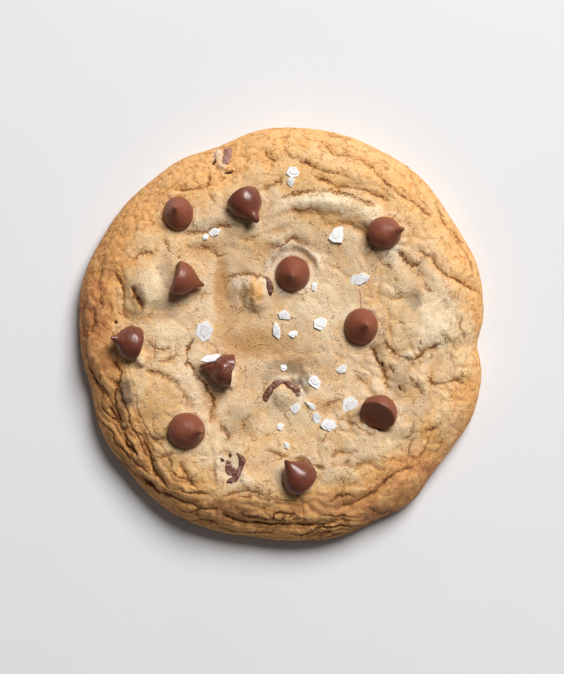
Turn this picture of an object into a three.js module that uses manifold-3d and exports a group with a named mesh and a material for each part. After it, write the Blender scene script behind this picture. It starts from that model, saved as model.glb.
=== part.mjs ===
// A large bakery-style chocolate chip cookie with flaky salt, in millimetres, +Z up.
// It lies flat on z = 0, centred on the Z axis, with +X to the right and +Y away.
import * as THREE from "three";
import { mergeVertices } from "three/addons/utils/BufferGeometryUtils.js";
import Module from "manifold-3d";

const wasm = await Module();
wasm.setup();

// ---- driving dimensions ----
const HALF_WIDTH = 57.6; // of the plain oval along X
const HALF_LENGTH = 59.0; // of the plain oval along Y
const CREST_HEIGHT = 14.7; // where the rim has risen to the top
const WAIST_HEIGHT = 3.6; // of the widest line of the edge
const SHOULDER = 17; // from the widest line in to the crest
const FOOT_INSET = 2.4; // of the flat underside from the widest line
const CENTRE_SINK = 1.1; // of the middle, which fell as it cooled
const UNDERCUT_INSET = 0.8; // of the edge halfway from the widest line to the underside
const UNDERCUT_HEIGHT = 1.2;
const GAP = 0.3; // between a chip and the dough round it

const LAYER_THICKNESS = 3.7; // of the layers folded into the rim
const LAYER_RELIEF = 1.5;
const LAYERS_REACH = 19; // how far in from the widest line they show
const LAYERED_SIDE = 228; // direction in degrees of the side where they stand out most
const BROAD_LUMPS = { size: 12, height: 0.55 };
const SMALL_LUMPS = { size: 5.5, height: 0.3 };

const CHIP_RADIUS = 4.95;
const CHIP_HEIGHT = 8.6;
const CHIP_MIDDLE = 0.3; // of its height, where a chip leans
const CHIP_SIDES = 14;
const SALT_THICKNESS = 0.75;
const SALT_SUNK = 0.35;

const EDGE_SEGMENTS = 130;
const RIM_RINGS = 16;
const RIM_RING_FIRST = 0.6; // width of the outermost ring of facets
const RIM_RING_GROWTH = 0.06;
const INNER_RING_STEP = 2.1;
const INNER_FACET = 2.35;
const UNDER_RINGS = [[0.28, 20], [0.53, 56], [0.78, 100]]; // share of the foot's radius, points

// Where the edge swells (+) or draws in (-): direction in degrees, spread in degrees, millimetres.
const EDGE_SWELLS = [
  [357, 5, -1.9],
  [19, 11, 1.3],
  [50, 13, 1.3],
  [72, 12, 0.5],
  [109, 10, -2.3],
  [128, 9, -0.9],
  [165, 11, 1.2],
  [195, 7, -1.0],
  [212, 8, 0.7],
  [236, 14, 1.3],
  [262, 6, -0.6],
  [287, 10, 1.0],
  [307, 8, 1.9],
  [338, 11, 1.4],
];

// Open cracks and folds: path, half width, depth, and how far the ground on the left of the path stands up.
const FOLDS = {
  ridgeFoot: [[[1, 34.2], [9, 34.8], [13, 31], [19, 30.4], [24.5, 27], [28, 20], [32, 18]], 2.0, 0.8, 1.2],
  ridgeBack: [[[27, 35.4], [20, 38.5], [14, 40.2], [5, 39.6], [-2, 37.8]], 1.4, 1.1, 0.4],
  northFold: [[[8, 44.5], [15.5, 42], [24, 40.3], [30.5, 37]], 1.5, 1.1, 0.5],
  farNorthFold: [[[10, 55.5], [15, 50.5], [22, 49.5], [30, 42], [38, 36.3], [43, 33]], 1.4, 1.0, 0.4],
  northCrack: [[[-6, 40], [-1, 42.6], [0.5, 45]], 1.1, 0.9, 0.3],
  northWestCrack: [[[-31, 40], [-22, 41.5], [-20.5, 46]], 1.1, 0.7, 0.3],
  northEastFold: [[[43.5, 37], [46, 32.5], [51.5, 25]], 1.3, 0.8, 0.3],
  eastLobe: [[[42.5, 23], [44.5, 18], [50, 15], [57, 11]], 1.4, 0.9, 0.5],
  eastCrack: [[[28.5, -1.5], [31, -5], [36.3, -7.3], [41.5, -4.7], [46, -2]], 1.1, 0.9, 0.3],
  chipCrack: [[[25, -2.5], [27, -8], [31.5, -17]], 1.2, 1.0, 0.2],
  southEastCrack: [[[40.7, -11.5], [43.5, -14], [49, -13.2], [53, -15]], 1.2, 0.8, 0.3],
  southEastShoulder: [[[38, -37], [31.5, -39.5], [25, -45.3], [15, -49.8]], 1.6, 0.9, 0.7],
  southFold: [[[-17.5, -50.5], [-10, -53.6], [1, -54], [8, -54.2], [17, -52.8]], 1.5, 1.3, 0.6],
  southWestFold: [[[-46, -35], [-42, -40], [-36, -44.5], [-26, -48]], 1.4, 1.2, 0.5],
  southWestInner: [[[-41, -27], [-38, -32], [-36.5, -38], [-32, -43.5]], 1.4, 1.3, 0.6],
  westInner: [[[-48.5, -7], [-44.5, -10.5], [-46.5, -20], [-44, -31], [-39.5, -34]], 1.4, 1.3, 0.6],
  westFold: [[[-55, -8], [-53, -13.5], [-49.5, -17.5], [-45, -26]], 1.3, 1.2, 0.5],
  westUpper: [[[-47.5, 18], [-45, 12.5], [-44.5, 6], [-42.5, 3.5]], 1.3, 1.1, 0.4],
  lobeSlit: [[[-42.2, 14], [-41.3, 10.5], [-38.8, 6]], 1.1, 1.7, 0.3],
  innerWestCrack: [[[-25, -1], [-27, -8], [-20, -16.5], [-19.5, -26]], 1.1, 0.9, 0.3],
};

// Broad swellings (+) and hollows (-): centre, half sizes, height.
const SWELLINGS = [
  [-37.5, 13, 5.6, 6.4, 2.3], // plump lobe beside the chip that lies on its side
  [-7.4, 12, 4.6, 4.8, 1.5], // dough that covers a chip
  [-36, -15, 9, 9, 1.2],
  [-53, -4.5, 4, 4.5, 1.2],
  [13, 37.6, 12, 2.6, 1.3], // raised ridge round the far side of the middle
  [25.5, 33, 4, 3, 1.0],
  [47, 3, 8, 9, 0.8],
  [0, -17.5, 2.6, 3, 0.7],
  [-8, -44, 16, 5, 0.9],
  [24, -39, 12, 6, 0.7],
  [3, 22, 8, 5, -1.2], // shallow crater round a chip
  [-17, 12, 2.6, 9, -0.9],
  [-6, -4, 12, 5, -0.5],
  [4, -11, 5, 4, -0.6],
];

// Whole chips: middle of the body, rise over the dough, lean from upright and direction of the lean in degrees,
// how far the tip curls over, height against the plain chip, stretch along X and Y.
const WHOLE_CHIPS = {
  chip_north_west: [-29.3, 34.0, 1.0, 11, 122, 0.5, 1.0, 0.88, 1.0],
  chip_north: [-10.0, 36.3, 1.4, 58, -58, 1.0, 1.06, 1.0, 1.0],
  chip_north_east: [29.5, 28.6, 1.1, 40, 10, 0.9, 1.0, 1.0, 0.93],
  chip_centre: [3.0, 16.8, 1.2, 3, -110, 0.2, 1.0, 0.98, 1.03],
  chip_east: [22.5, 2.1, 1.2, 8, 15, 0.5, 1.0, 0.98, 1.05],
  chip_west: [-27.6, 15.3, 3.0, 101, -16, 0.6, 1.04, 1.0, 0.97],
  chip_west_edge: [-43.2, -2.3, 1.5, 62, 163, -0.7, 1.0, 0.95, 1.0],
  chip_south_west: [-26.2, -27.3, 1.0, 30, -2, 0.6, 1.0, 1.09, 1.03],
  chip_middle: [-16.5, -9.9, 2.6, 84, 172, 0.6, 1.1, 1.0, 0.95],
  chip_south_east: [27.7, -21.1, 1.6, 132, 61, 0, 0.95, 1.05, 1.05],
  chip_south: [4.4, -39.8, 1.5, 60, 128, -0.9, 1.2, 1.0, 1.0],
};

// Chips that the dough covers in part, as the ribbon of chocolate that shows: path, width, rise.
const COVERED_CHIPS = {
  covered_north: { path: [[-16.1, 47.7], [-15.5, 49.2], [-15.2, 50.6], [-15, 52]], width: 2.6, rise: 0.3 },
  covered_middle: {
    path: [[-4.8, -19.9], [-4.4, -17.8], [-2.8, -15.5], [0.4, -13.9], [3.2, -15.3], [4.3, -16.7], [4.7, -18]],
    width: 2.1,
    rise: 0.5,
  },
  covered_south_west: {
    path: [[-15.4, -36], [-14.9, -38], [-13.6, -40.6], [-12, -39], [-11.6, -36.4], [-12.6, -34]],
    width: 2,
    rise: 0.4,
  },
  covered_centre: { path: [[-5.3, 16.3], [-4.2, 14.7], [-3.6, 13], [-3.4, 10.8]], width: 1.9, rise: 0.45 },
};
const RIBBON_DEPTH = 2.4;

// Salt flakes on the dough: centre, length, width, turn in degrees, corners.
const SALT_FLAKES = [
  [3.3, 45.4, 3.6, 2.8, 10, 5],
  [2.4, 42.9, 2.2, 1.8, 40, 4],
  [15.5, 27.8, 5.2, 3.8, 65, 5],
  [21.8, 15.2, 6.0, 3.4, 18, 6],
  [9.2, 13.4, 2.3, 1.8, 80, 4],
  [-18.8, 28.6, 3.0, 2.4, 20, 4],
  [-21.7, 27.3, 2.3, 1.8, 60, 4],
  [0.6, 5.2, 3.3, 2.4, 150, 5],
  [10.9, 2.8, 4.0, 3.3, 35, 5],
  [-1.5, 0.7, 4.2, 2.8, 100, 5],
  [3.2, 0, 2.4, 1.9, 15, 4],
  [-21.8, 0.8, 5.8, 4.6, 75, 4],
  [0.4, -9.7, 2.0, 1.3, 90, 4],
  [16.7, -9.8, 2.8, 2.4, 30, 5],
  [9.5, -13.5, 4.0, 2.4, 120, 3],
  [3.8, -21, 3.5, 2.9, 45, 4],
  [8.0, -20, 3.1, 1.5, -45, 4],
  [9.8, -23.5, 3.0, 2.4, 70, 4],
  [13.0, -25.6, 4.6, 2.8, -10, 4],
  [19.3, -20, 5.0, 4.6, 30, 6],
  [-0.3, -26, 2.7, 2.2, 85, 4],
  [1.3, -31.5, 1.7, 1.4, 0, 4],
];
const SALT_ON_CHIP = { x: -19.6, y: -6.9, rise: 3.9, length: 6.8, width: 2.6, turn: 10, corners: 5, tilt: 38 };

const COLOURS = {
  dough: 0xd9b184,
  chocolate: 0x5b3220,
};

// ---- small helpers ----
const radians = THREE.MathUtils.degToRad;

function smooth(t) {
  const c = Math.min(Math.max(t, 0), 1);
  return c * c * (3 - 2 * c);
}

// A repeatable number from 0 to 1 for a lattice point.
function lattice(i, j, seed) {
  const v = Math.sin(i * 127.1 + j * 311.7 + seed * 74.7) * 43758.5453;
  return v - Math.floor(v);
}

// Smooth noise from -1 to 1 with features about one unit across.
function noise(x, y, seed) {
  const i = Math.floor(x);
  const j = Math.floor(y);
  const u = smooth(x - i);
  const v = smooth(y - j);
  const low = lattice(i, j, seed) * (1 - u) + lattice(i + 1, j, seed) * u;
  const high = lattice(i, j + 1, seed) * (1 - u) + lattice(i + 1, j + 1, seed) * u;
  return 2 * (low * (1 - v) + high * v) - 1;
}

// Signed distance from a path: positive on its left.
function besidePath(path, x, y) {
  let nearest = Infinity;
  let side = 1;
  for (let k = 1; k < path.length; k++) {
    const [ax, ay] = path[k - 1];
    const [bx, by] = path[k];
    const dx = bx - ax;
    const dy = by - ay;
    const along = ((x - ax) * dx + (y - ay) * dy) / (dx * dx + dy * dy);
    const t = Math.min(Math.max(along, 0), 1);
    const distance = Math.hypot(x - ax - t * dx, y - ay - t * dy);
    if (distance < nearest) {
      nearest = distance;
      side = dx * (y - ay) - dy * (x - ax) < 0 ? -1 : 1;
    }
  }
  return side * nearest;
}

// ---- the form of the dough ----
function edgeRadius(angle) {
  const oval =
    (HALF_WIDTH * HALF_LENGTH) /
    Math.hypot(HALF_LENGTH * Math.cos(angle), HALF_WIDTH * Math.sin(angle));
  let radius = oval;
  for (const [direction, spread, amount] of EDGE_SWELLS) {
    const off = ((THREE.MathUtils.radToDeg(angle) - direction + 540) % 360) - 180;
    radius += amount * Math.exp(-((off / spread) ** 2));
  }
  return radius;
}

// The edge's layers: puffed bands that follow the rim, deepest on the left and near sides.
function rimBands(x, y, inset) {
  const angle = Math.atan2(y, x);
  const share = smooth(inset / 2) * smooth((LAYERS_REACH - inset) / 6);
  const strength = 0.55 + 0.35 * Math.cos(angle - radians(LAYERED_SIDE));
  const wander = 0.8 * noise(x / 13, y / 13, 3) + 0.3 * noise(x / 5, y / 5, 4);
  const band = Math.abs(Math.sin(Math.PI * (inset / LAYER_THICKNESS + wander)));
  return share * strength * LAYER_RELIEF * (band - 0.6);
}

function lumpRelief({ size, height }, x, y, seed) {
  return height * noise(x / size, y / size, seed);
}

function foldRelief(x, y) {
  let relief = 0;
  for (const [path, halfWidth, depth, lift] of Object.values(FOLDS)) {
    const side = besidePath(path, x, y);
    const near = Math.abs(side);
    relief -= depth * Math.exp(-((near / halfWidth) ** 2));
    if (side > 0) relief += lift * smooth(near / 1.5) * Math.exp(-((near / 5) ** 2));
  }
  return relief;
}

function swellingRelief(x, y) {
  let relief = 0;
  for (const [cx, cy, halfX, halfY, height] of SWELLINGS) {
    const far = ((x - cx) / halfX) ** 2 + ((y - cy) / halfY) ** 2;
    relief += height * Math.exp(-(far ** 1.5));
  }
  return relief;
}

// Height of the upper surface over the floor.
function topHeight(x, y) {
  const inset = Math.max(edgeRadius(Math.atan2(y, x)) - Math.hypot(x, y), 0);
  const rise = 1 - Math.min(inset / SHOULDER, 1);
  const rim = Math.sqrt(Math.max(1 - rise * rise, 0));
  const sink = CENTRE_SINK * smooth((inset - 20) / 16);
  const lumps = lumpRelief(BROAD_LUMPS, x, y, 1) + lumpRelief(SMALL_LUMPS, x, y, 2);
  const relief = lumps + rimBands(x, y, inset) + foldRelief(x, y) + swellingRelief(x, y);
  const hold = smooth(inset / 5); // the widest line stays level
  return WAIST_HEIGHT + (CREST_HEIGHT - WAIST_HEIGHT) * rim - sink + hold * relief;
}

// ---- solids and meshes ----
function solidFrom(positions, triangles) {
  return new wasm.Manifold(
    new wasm.Mesh({
      numProp: 3,
      vertProperties: new Float32Array(positions),
      triVerts: new Uint32Array(triangles),
    }),
  );
}

function solidFromGeometry(geometry) {
  const bare = geometry.clone();
  bare.deleteAttribute("normal");
  bare.deleteAttribute("uv");
  const merged = mergeVertices(bare, 1e-4);
  return solidFrom(merged.attributes.position.array, merged.index.array);
}

function geometryFrom(solid) {
  const mesh = solid.getMesh();
  const geometry = new THREE.BufferGeometry();
  geometry.setAttribute("position", new THREE.BufferAttribute(mesh.vertProperties, 3));
  geometry.setIndex(new THREE.BufferAttribute(mesh.triVerts, 1));
  geometry.computeVertexNormals();
  return geometry;
}

// The largest piece of a solid, without the scraps that a cut leaves.
function mainPiece(solid) {
  return solid.decompose().reduce((best, piece) => (piece.volume() > best.volume() ? piece : best));
}

// A closed surface through rings of points, from one pole to the other.
// The rings run counterclockwise seen from above.
function surfaceThroughRings(bottomPole, rings, topPole) {
  const positions = [...bottomPole];
  const starts = [];
  for (const ring of rings) {
    starts.push(positions.length / 3);
    ring.forEach((point) => positions.push(...point));
  }
  const top = positions.length / 3;
  positions.push(...topPole);
  const triangles = [];
  const first = rings[0].length;
  for (let k = 0; k < first; k++) {
    triangles.push(0, starts[0] + ((k + 1) % first), starts[0] + k);
  }
  for (let r = 1; r < rings.length; r++) {
    zipRings(triangles, starts[r - 1], rings[r - 1].length, starts[r], rings[r].length);
  }
  const last = rings.length - 1;
  const count = rings[last].length;
  for (let k = 0; k < count; k++) {
    triangles.push(top, starts[last] + k, starts[last] + ((k + 1) % count));
  }
  return solidFrom(positions, triangles);
}

// Joins two rings with evenly spread points that may differ in number.
function zipRings(triangles, lowStart, lowCount, highStart, highCount) {
  let low = 0;
  let high = 0;
  while (low < lowCount || high < highCount) {
    const stepLow = high >= highCount || (low < lowCount && (low + 1) / lowCount <= (high + 1) / highCount);
    const a = lowStart + (low % lowCount);
    const b = highStart + (high % highCount);
    if (stepLow) {
      triangles.push(a, lowStart + ((low + 1) % lowCount), b);
      low += 1;
    } else {
      triangles.push(a, highStart + ((high + 1) % highCount), b);
      high += 1;
    }
  }
}

function ringOf(count, pointAt) {
  return Array.from({ length: count }, (_, k) => pointAt((2 * Math.PI * k) / count));
}

function pointOnTop(angle, radius) {
  const x = radius * Math.cos(angle);
  const y = radius * Math.sin(angle);
  return [x, y, topHeight(x, y)];
}

function pointInset(angle, inset, z) {
  const radius = edgeRadius(angle) - inset;
  return [radius * Math.cos(angle), radius * Math.sin(angle), z];
}

function doughBody() {
  const footRadius = HALF_WIDTH - FOOT_INSET;
  const rings = UNDER_RINGS.map(([share, count]) =>
    ringOf(count, (angle) => pointInset(angle, FOOT_INSET + footRadius * (1 - share), 0)),
  );
  rings.push(ringOf(EDGE_SEGMENTS, (angle) => pointInset(angle, FOOT_INSET, 0)));
  rings.push(ringOf(EDGE_SEGMENTS, (angle) => pointInset(angle, UNDERCUT_INSET, UNDERCUT_HEIGHT)));
  rings.push(ringOf(EDGE_SEGMENTS, (angle) => pointInset(angle, 0, WAIST_HEIGHT)));
  let inset = 0;
  for (let k = 0; k < RIM_RINGS; k++) {
    inset += RIM_RING_FIRST + RIM_RING_GROWTH * k;
    const ringInset = inset;
    rings.push(ringOf(EDGE_SEGMENTS, (angle) => pointOnTop(angle, edgeRadius(angle) - ringInset)));
  }
  const innerShare = 1 - inset / HALF_WIDTH;
  const steps = Math.round((HALF_WIDTH * innerShare) / INNER_RING_STEP);
  for (let k = 1; k < steps; k++) {
    const share = innerShare * (1 - k / steps);
    const count = Math.max(8, Math.round((2 * Math.PI * HALF_WIDTH * share) / INNER_FACET));
    rings.push(ringOf(count, (angle) => pointOnTop(angle, edgeRadius(angle) * share)));
  }
  return surfaceThroughRings([0, 0, 0], rings, [0, 0, topHeight(0, 0)]);
}

// Side view of a chip from the middle of its base to its tip, grown outwards by a margin.
function chipProfile(margin) {
  const shape = [
    [0, 0],
    [0.84, 0],
    [1, 0.1],
    [0.97, 0.25],
    [0.8, 0.47],
    [0.56, 0.62],
    [0.3, 0.78],
    [0.14, 0.91],
    [0, 1],
  ];
  return shape.map(([across, up]) => {
    const radius = across * CHIP_RADIUS + (across > 0 ? margin : 0);
    return new THREE.Vector2(radius, up * CHIP_HEIGHT + margin * (2 * up - 1));
  });
}

// A chip that leans where it lies, with its tip curled the way it leans.
function chipSolid([x, y, rise, lean, toward, curl, tall, stretchX, stretchY], margin) {
  const geometry = new THREE.LatheGeometry(chipProfile(margin), CHIP_SIDES);
  geometry.rotateX(Math.PI / 2);
  geometry.translate(0, 0, -CHIP_MIDDLE * CHIP_HEIGHT);
  const points = geometry.attributes.position;
  for (let k = 0; k < points.count; k++) {
    const up = Math.max(points.getZ(k) / CHIP_HEIGHT, 0);
    points.setX(k, points.getX(k) + curl * (up / (1 - CHIP_MIDDLE)) ** 3);
    points.setZ(k, points.getZ(k) * (up > 0 ? tall : 1));
  }
  geometry.rotateY(radians(lean));
  geometry.rotateZ(radians(toward));
  geometry.scale(stretchX, stretchY, 1);
  geometry.translate(x, y, topHeight(x, y) + rise);
  return solidFromGeometry(geometry);
}

// A ribbon of chocolate along a path on the dough, thick in the middle and closed to a point at its ends.
function ribbonSolid({ path, width, rise }, margin) {
  const curve = new THREE.CatmullRomCurve3(path.map(([x, y]) => new THREE.Vector3(x, y, 0)));
  const stations = 9;
  const sides = 8;
  const rings = [];
  const at = (t) => {
    const point = curve.getPointAt(t);
    point.z = topHeight(point.x, point.y) + rise;
    return point;
  };
  for (let k = 0; k <= stations; k++) {
    const t = k / stations;
    const point = at(t);
    const along = curve.getTangentAt(t);
    const swell = 0.45 + 0.55 * Math.sin(Math.PI * t);
    const half = (width / 2) * swell + margin;
    const deep = (RIBBON_DEPTH / 2) * swell + margin;
    rings.push(
      ringOf(sides, (angle) => [
        point.x - along.y * half * Math.cos(angle),
        point.y + along.x * half * Math.cos(angle),
        point.z - RIBBON_DEPTH / 2 + deep * Math.sin(angle),
      ]),
    );
  }
  const tip = (t, sign) => {
    const point = at(t);
    const along = curve.getTangentAt(t);
    const reach = sign * (0.35 + margin);
    return [point.x + along.x * reach, point.y + along.y * reach, point.z - RIBBON_DEPTH / 2];
  };
  return surfaceThroughRings(tip(0, -1), rings, tip(1, 1));
}

// A thin plate of salt with uneven corners, lying at a height, turned and tipped over its long side.
function saltPlate(x, y, z, length, width, turn, corners, tilt = 5 * noise(x, y, 1)) {
  const outline = new THREE.Shape(
    Array.from({ length: corners }, (_, k) => {
      const angle = (2 * Math.PI * k) / corners;
      const reach = 0.85 + 0.3 * lattice(k, Math.round(10 * x), Math.round(10 * y));
      return new THREE.Vector2((reach * length * Math.cos(angle)) / 2, (reach * width * Math.sin(angle)) / 2);
    }),
  );
  const geometry = new THREE.ExtrudeGeometry(outline, { depth: SALT_THICKNESS, bevelEnabled: false });
  geometry.rotateX(radians(-tilt));
  geometry.rotateZ(radians(turn));
  geometry.translate(x, y, z - SALT_SUNK);
  return solidFromGeometry(geometry);
}

// ---- assembly ----
const materials = {
  dough: new THREE.MeshStandardMaterial({ color: COLOURS.dough, roughness: 0.85, metalness: 0 }),
  chocolate: new THREE.MeshStandardMaterial({ color: COLOURS.chocolate, roughness: 0.4, metalness: 0 }),
};

function buildCookie() {
  const pieces = new Map();
  let dough = doughBody();
  for (const [name, chip] of Object.entries(WHOLE_CHIPS)) {
    dough = dough.subtract(chipSolid(chip, GAP));
    pieces.set(name, chipSolid(chip, 0));
  }
  for (const [name, ribbon] of Object.entries(COVERED_CHIPS)) {
    dough = dough.subtract(ribbonSolid(ribbon, GAP));
    pieces.set(name, ribbonSolid(ribbon, 0));
  }
  for (const [x, y, length, width, turn, corners] of SALT_FLAKES) {
    dough = dough.add(saltPlate(x, y, topHeight(x, y), length, width, turn, corners));
  }
  const { x, y, rise, length, width, turn, corners, tilt } = SALT_ON_CHIP;
  const flake = saltPlate(x, y, topHeight(x, y) + rise, length, width, turn, corners, tilt);
  pieces.set("chip_middle", pieces.get("chip_middle").add(flake));
  pieces.set("cookie_dough", mainPiece(dough));
  return pieces;
}

const cookie = new THREE.Group();
const pieces = buildCookie();
const box = new THREE.Box3();
for (const [name, solid] of pieces) {
  const geometry = geometryFrom(solid);
  geometry.computeBoundingBox();
  box.union(geometry.boundingBox);
  const material = name === "cookie_dough" ? materials.dough : materials.chocolate;
  const mesh = new THREE.Mesh(geometry, material);
  mesh.name = name;
  cookie.add(mesh);
}
const middle = box.getCenter(new THREE.Vector3());
cookie.position.set(-middle.x, -middle.y, 0);

export default cookie;
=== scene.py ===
"""A large chocolate chip cookie with flaky salt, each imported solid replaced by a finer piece."""
import math

import bpy
import numpy as np
from mathutils import Matrix, Vector


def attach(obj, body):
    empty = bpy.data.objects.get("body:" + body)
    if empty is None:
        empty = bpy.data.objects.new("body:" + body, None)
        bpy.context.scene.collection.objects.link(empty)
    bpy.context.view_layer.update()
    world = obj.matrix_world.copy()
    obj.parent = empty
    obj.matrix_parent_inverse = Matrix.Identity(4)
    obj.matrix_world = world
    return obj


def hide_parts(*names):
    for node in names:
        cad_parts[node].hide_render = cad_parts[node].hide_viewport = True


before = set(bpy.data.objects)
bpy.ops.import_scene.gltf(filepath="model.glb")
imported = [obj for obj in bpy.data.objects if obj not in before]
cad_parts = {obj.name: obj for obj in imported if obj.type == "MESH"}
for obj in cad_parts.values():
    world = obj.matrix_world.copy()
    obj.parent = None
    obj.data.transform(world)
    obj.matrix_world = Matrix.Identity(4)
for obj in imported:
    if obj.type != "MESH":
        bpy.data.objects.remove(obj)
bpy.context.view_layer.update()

MM = 0.001
BODY = "root"

# ---------------------------------------------------------------- sizes, in millimetres
HALF_WIDTH = 57.6  # of the plain oval along X
HALF_LENGTH = 59.0
CREST_HEIGHT = 14.7
WAIST_HEIGHT = 3.6
SHOULDER = 17.0
FOOT_INSET = 2.4
CENTRE_SINK = 1.1
OVAL_OFF_CENTRE = (0.19, 0.0)  # of the plain oval from the middle of the box

CHIP_RADIUS = 4.95
CHIP_HEIGHT = 8.6
CHIP_MIDDLE = 0.3

TOP_CELL = 0.395  # spacing of the points on the crust
UNDER_CELL = 1.1  # spacing of the points on the underside
PATH_STEP = 0.5  # spacing of the points along a crack
UNDERSIDE = -12.0  # stands for the underside, where the arc from the widest line is measured
RIM_WIDTH = 21.0  # arc that the layers and the browning of the rim take up
LAYER = 4.4  # thickness of the layers folded into the rim
LAYER_DRIFT = ((15, 1.1, 3), (5.5, 0.4, 4), (1.9, 0.1, 6))  # how the layers wander: size, amount, seed
RIM_RADIUS = 55.0  # that the long puffs of the rim are measured on
RIM_STRETCH = 30.0  # radius that the rim is unrolled on, so its crackle runs along it
SEAM_REACH = 4.0  # how far from a seam its browning can spread
CRACK_REACH = 9.0  # how far from a crack its relief can spread
WIDE_CRACK = 0.75  # half width from which a crack strays less
FINE_JOG, WIDE_JOG = 0.62, 0.35  # how far fine and wide cracks stray to either side

# Where the edge swells or draws in: direction and spread in degrees, millimetres.
EDGE_SWELLS = (
    (357, 5, -1.9), (19, 11, 1.3), (50, 13, 1.3), (72, 12, 0.5), (109, 10, -2.3), (128, 9, -0.9),
    (165, 11, 1.2), (195, 7, -1.0), (212, 8, 0.7), (236, 14, 1.3), (262, 6, -0.6), (287, 10, 1.0),
    (307, 8, 1.9), (338, 11, 1.4),
)

# Broad swellings and hollows: middle, half sizes, height.
SWELLINGS = (
    (-37.5, 13, 5.6, 6.4, 2.3), (-7.4, 12, 4.6, 4.8, 1.5), (-36, -15, 9, 9, 1.2),
    (-53, -4.5, 4, 4.5, 1.2), (13, 37.6, 12, 2.6, 0.75), (25.5, 33, 4, 3, 1.0), (47, 3, 8, 9, 0.8),
    (0, -17.5, 2.6, 3, 0.7), (-8, -44, 16, 5, 0.9), (24, -39, 12, 6, 0.7), (3, 22, 8, 5, -1.2),
    (-17, 12, 2.6, 9, -0.9), (-6, -4, 12, 5, -0.5), (4, -11, 5, 4, -0.6),
)

# The large folds: path, half width, depth, and how far the ground on the left of the path stands up.
FOLDS = (
    (((1, 34.2), (9, 34.8), (13, 31), (19, 30.4), (24.5, 27), (28, 20), (32, 18)), 1.6, 0.4, 0.6),
    (((27, 35.4), (20, 38.5), (14, 40.2), (5, 39.6), (-2, 37.8)), 0.9, 0.7, 0.3),
    (((8, 44.5), (15.5, 42), (24, 40.3), (30.5, 37)), 1.3, 1.0, 0.5),
    (((10, 55.5), (15, 50.5), (22, 49.5), (30, 42), (38, 36.3), (43, 33)), 0.9, 0.8, 0.4),
    (((-6, 40), (-1, 42.6), (0.5, 45)), 0.6, 0.8, 0.3),
    (((-31, 40), (-22, 41.5), (-20.5, 46)), 0.6, 0.6, 0.3),
    (((43.5, 37), (46, 32.5), (51.5, 25)), 0.7, 0.7, 0.3),
    (((42.5, 23), (44.5, 18), (50, 15), (57, 11)), 0.8, 0.8, 0.5),
    (((28.5, -1.5), (31, -5), (36.3, -7.3), (41.5, -4.7), (46, -2)), 0.6, 0.8, 0.3),
    (((25, -2.5), (27, -8), (31.5, -17)), 0.7, 0.9, 0.2),
    (((40.7, -11.5), (43.5, -14), (49, -13.2), (53, -15)), 0.6, 0.7, 0.3),
    (((38, -37), (31.5, -39.5), (25, -45.3), (15, -49.8)), 1.0, 0.8, 0.7),
    (((-17.5, -50.5), (-10, -53.6), (1, -54), (8, -54.2), (17, -52.8)), 0.8, 1.2, 0.6),
    (((-46, -35), (-42, -40), (-36, -44.5), (-26, -48)), 0.8, 1.1, 0.5),
    (((-41, -27), (-38, -32), (-36.5, -38), (-32, -43.5)), 0.8, 1.2, 0.6),
    (((-48.5, -7), (-45.5, -10.5), (-46.8, -20), (-44, -31), (-39.5, -34)), 0.7, 0.9, 0.4),
    (((-55, -8), (-53, -13.5), (-49.5, -17.5), (-45, -26)), 0.7, 1.1, 0.5),
    (((-47.5, 18), (-45, 12.5), (-44.5, 6), (-42.5, 3.5)), 0.8, 0.8, 0.3),
    (((-42.2, 14), (-41.3, 10.5), (-38.8, 6)), 0.9, 1.6, 0.3),
    (((-25, -1), (-27, -8), (-20, -16.5), (-19.5, -26)), 0.7, 0.8, 0.3),
)

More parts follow.
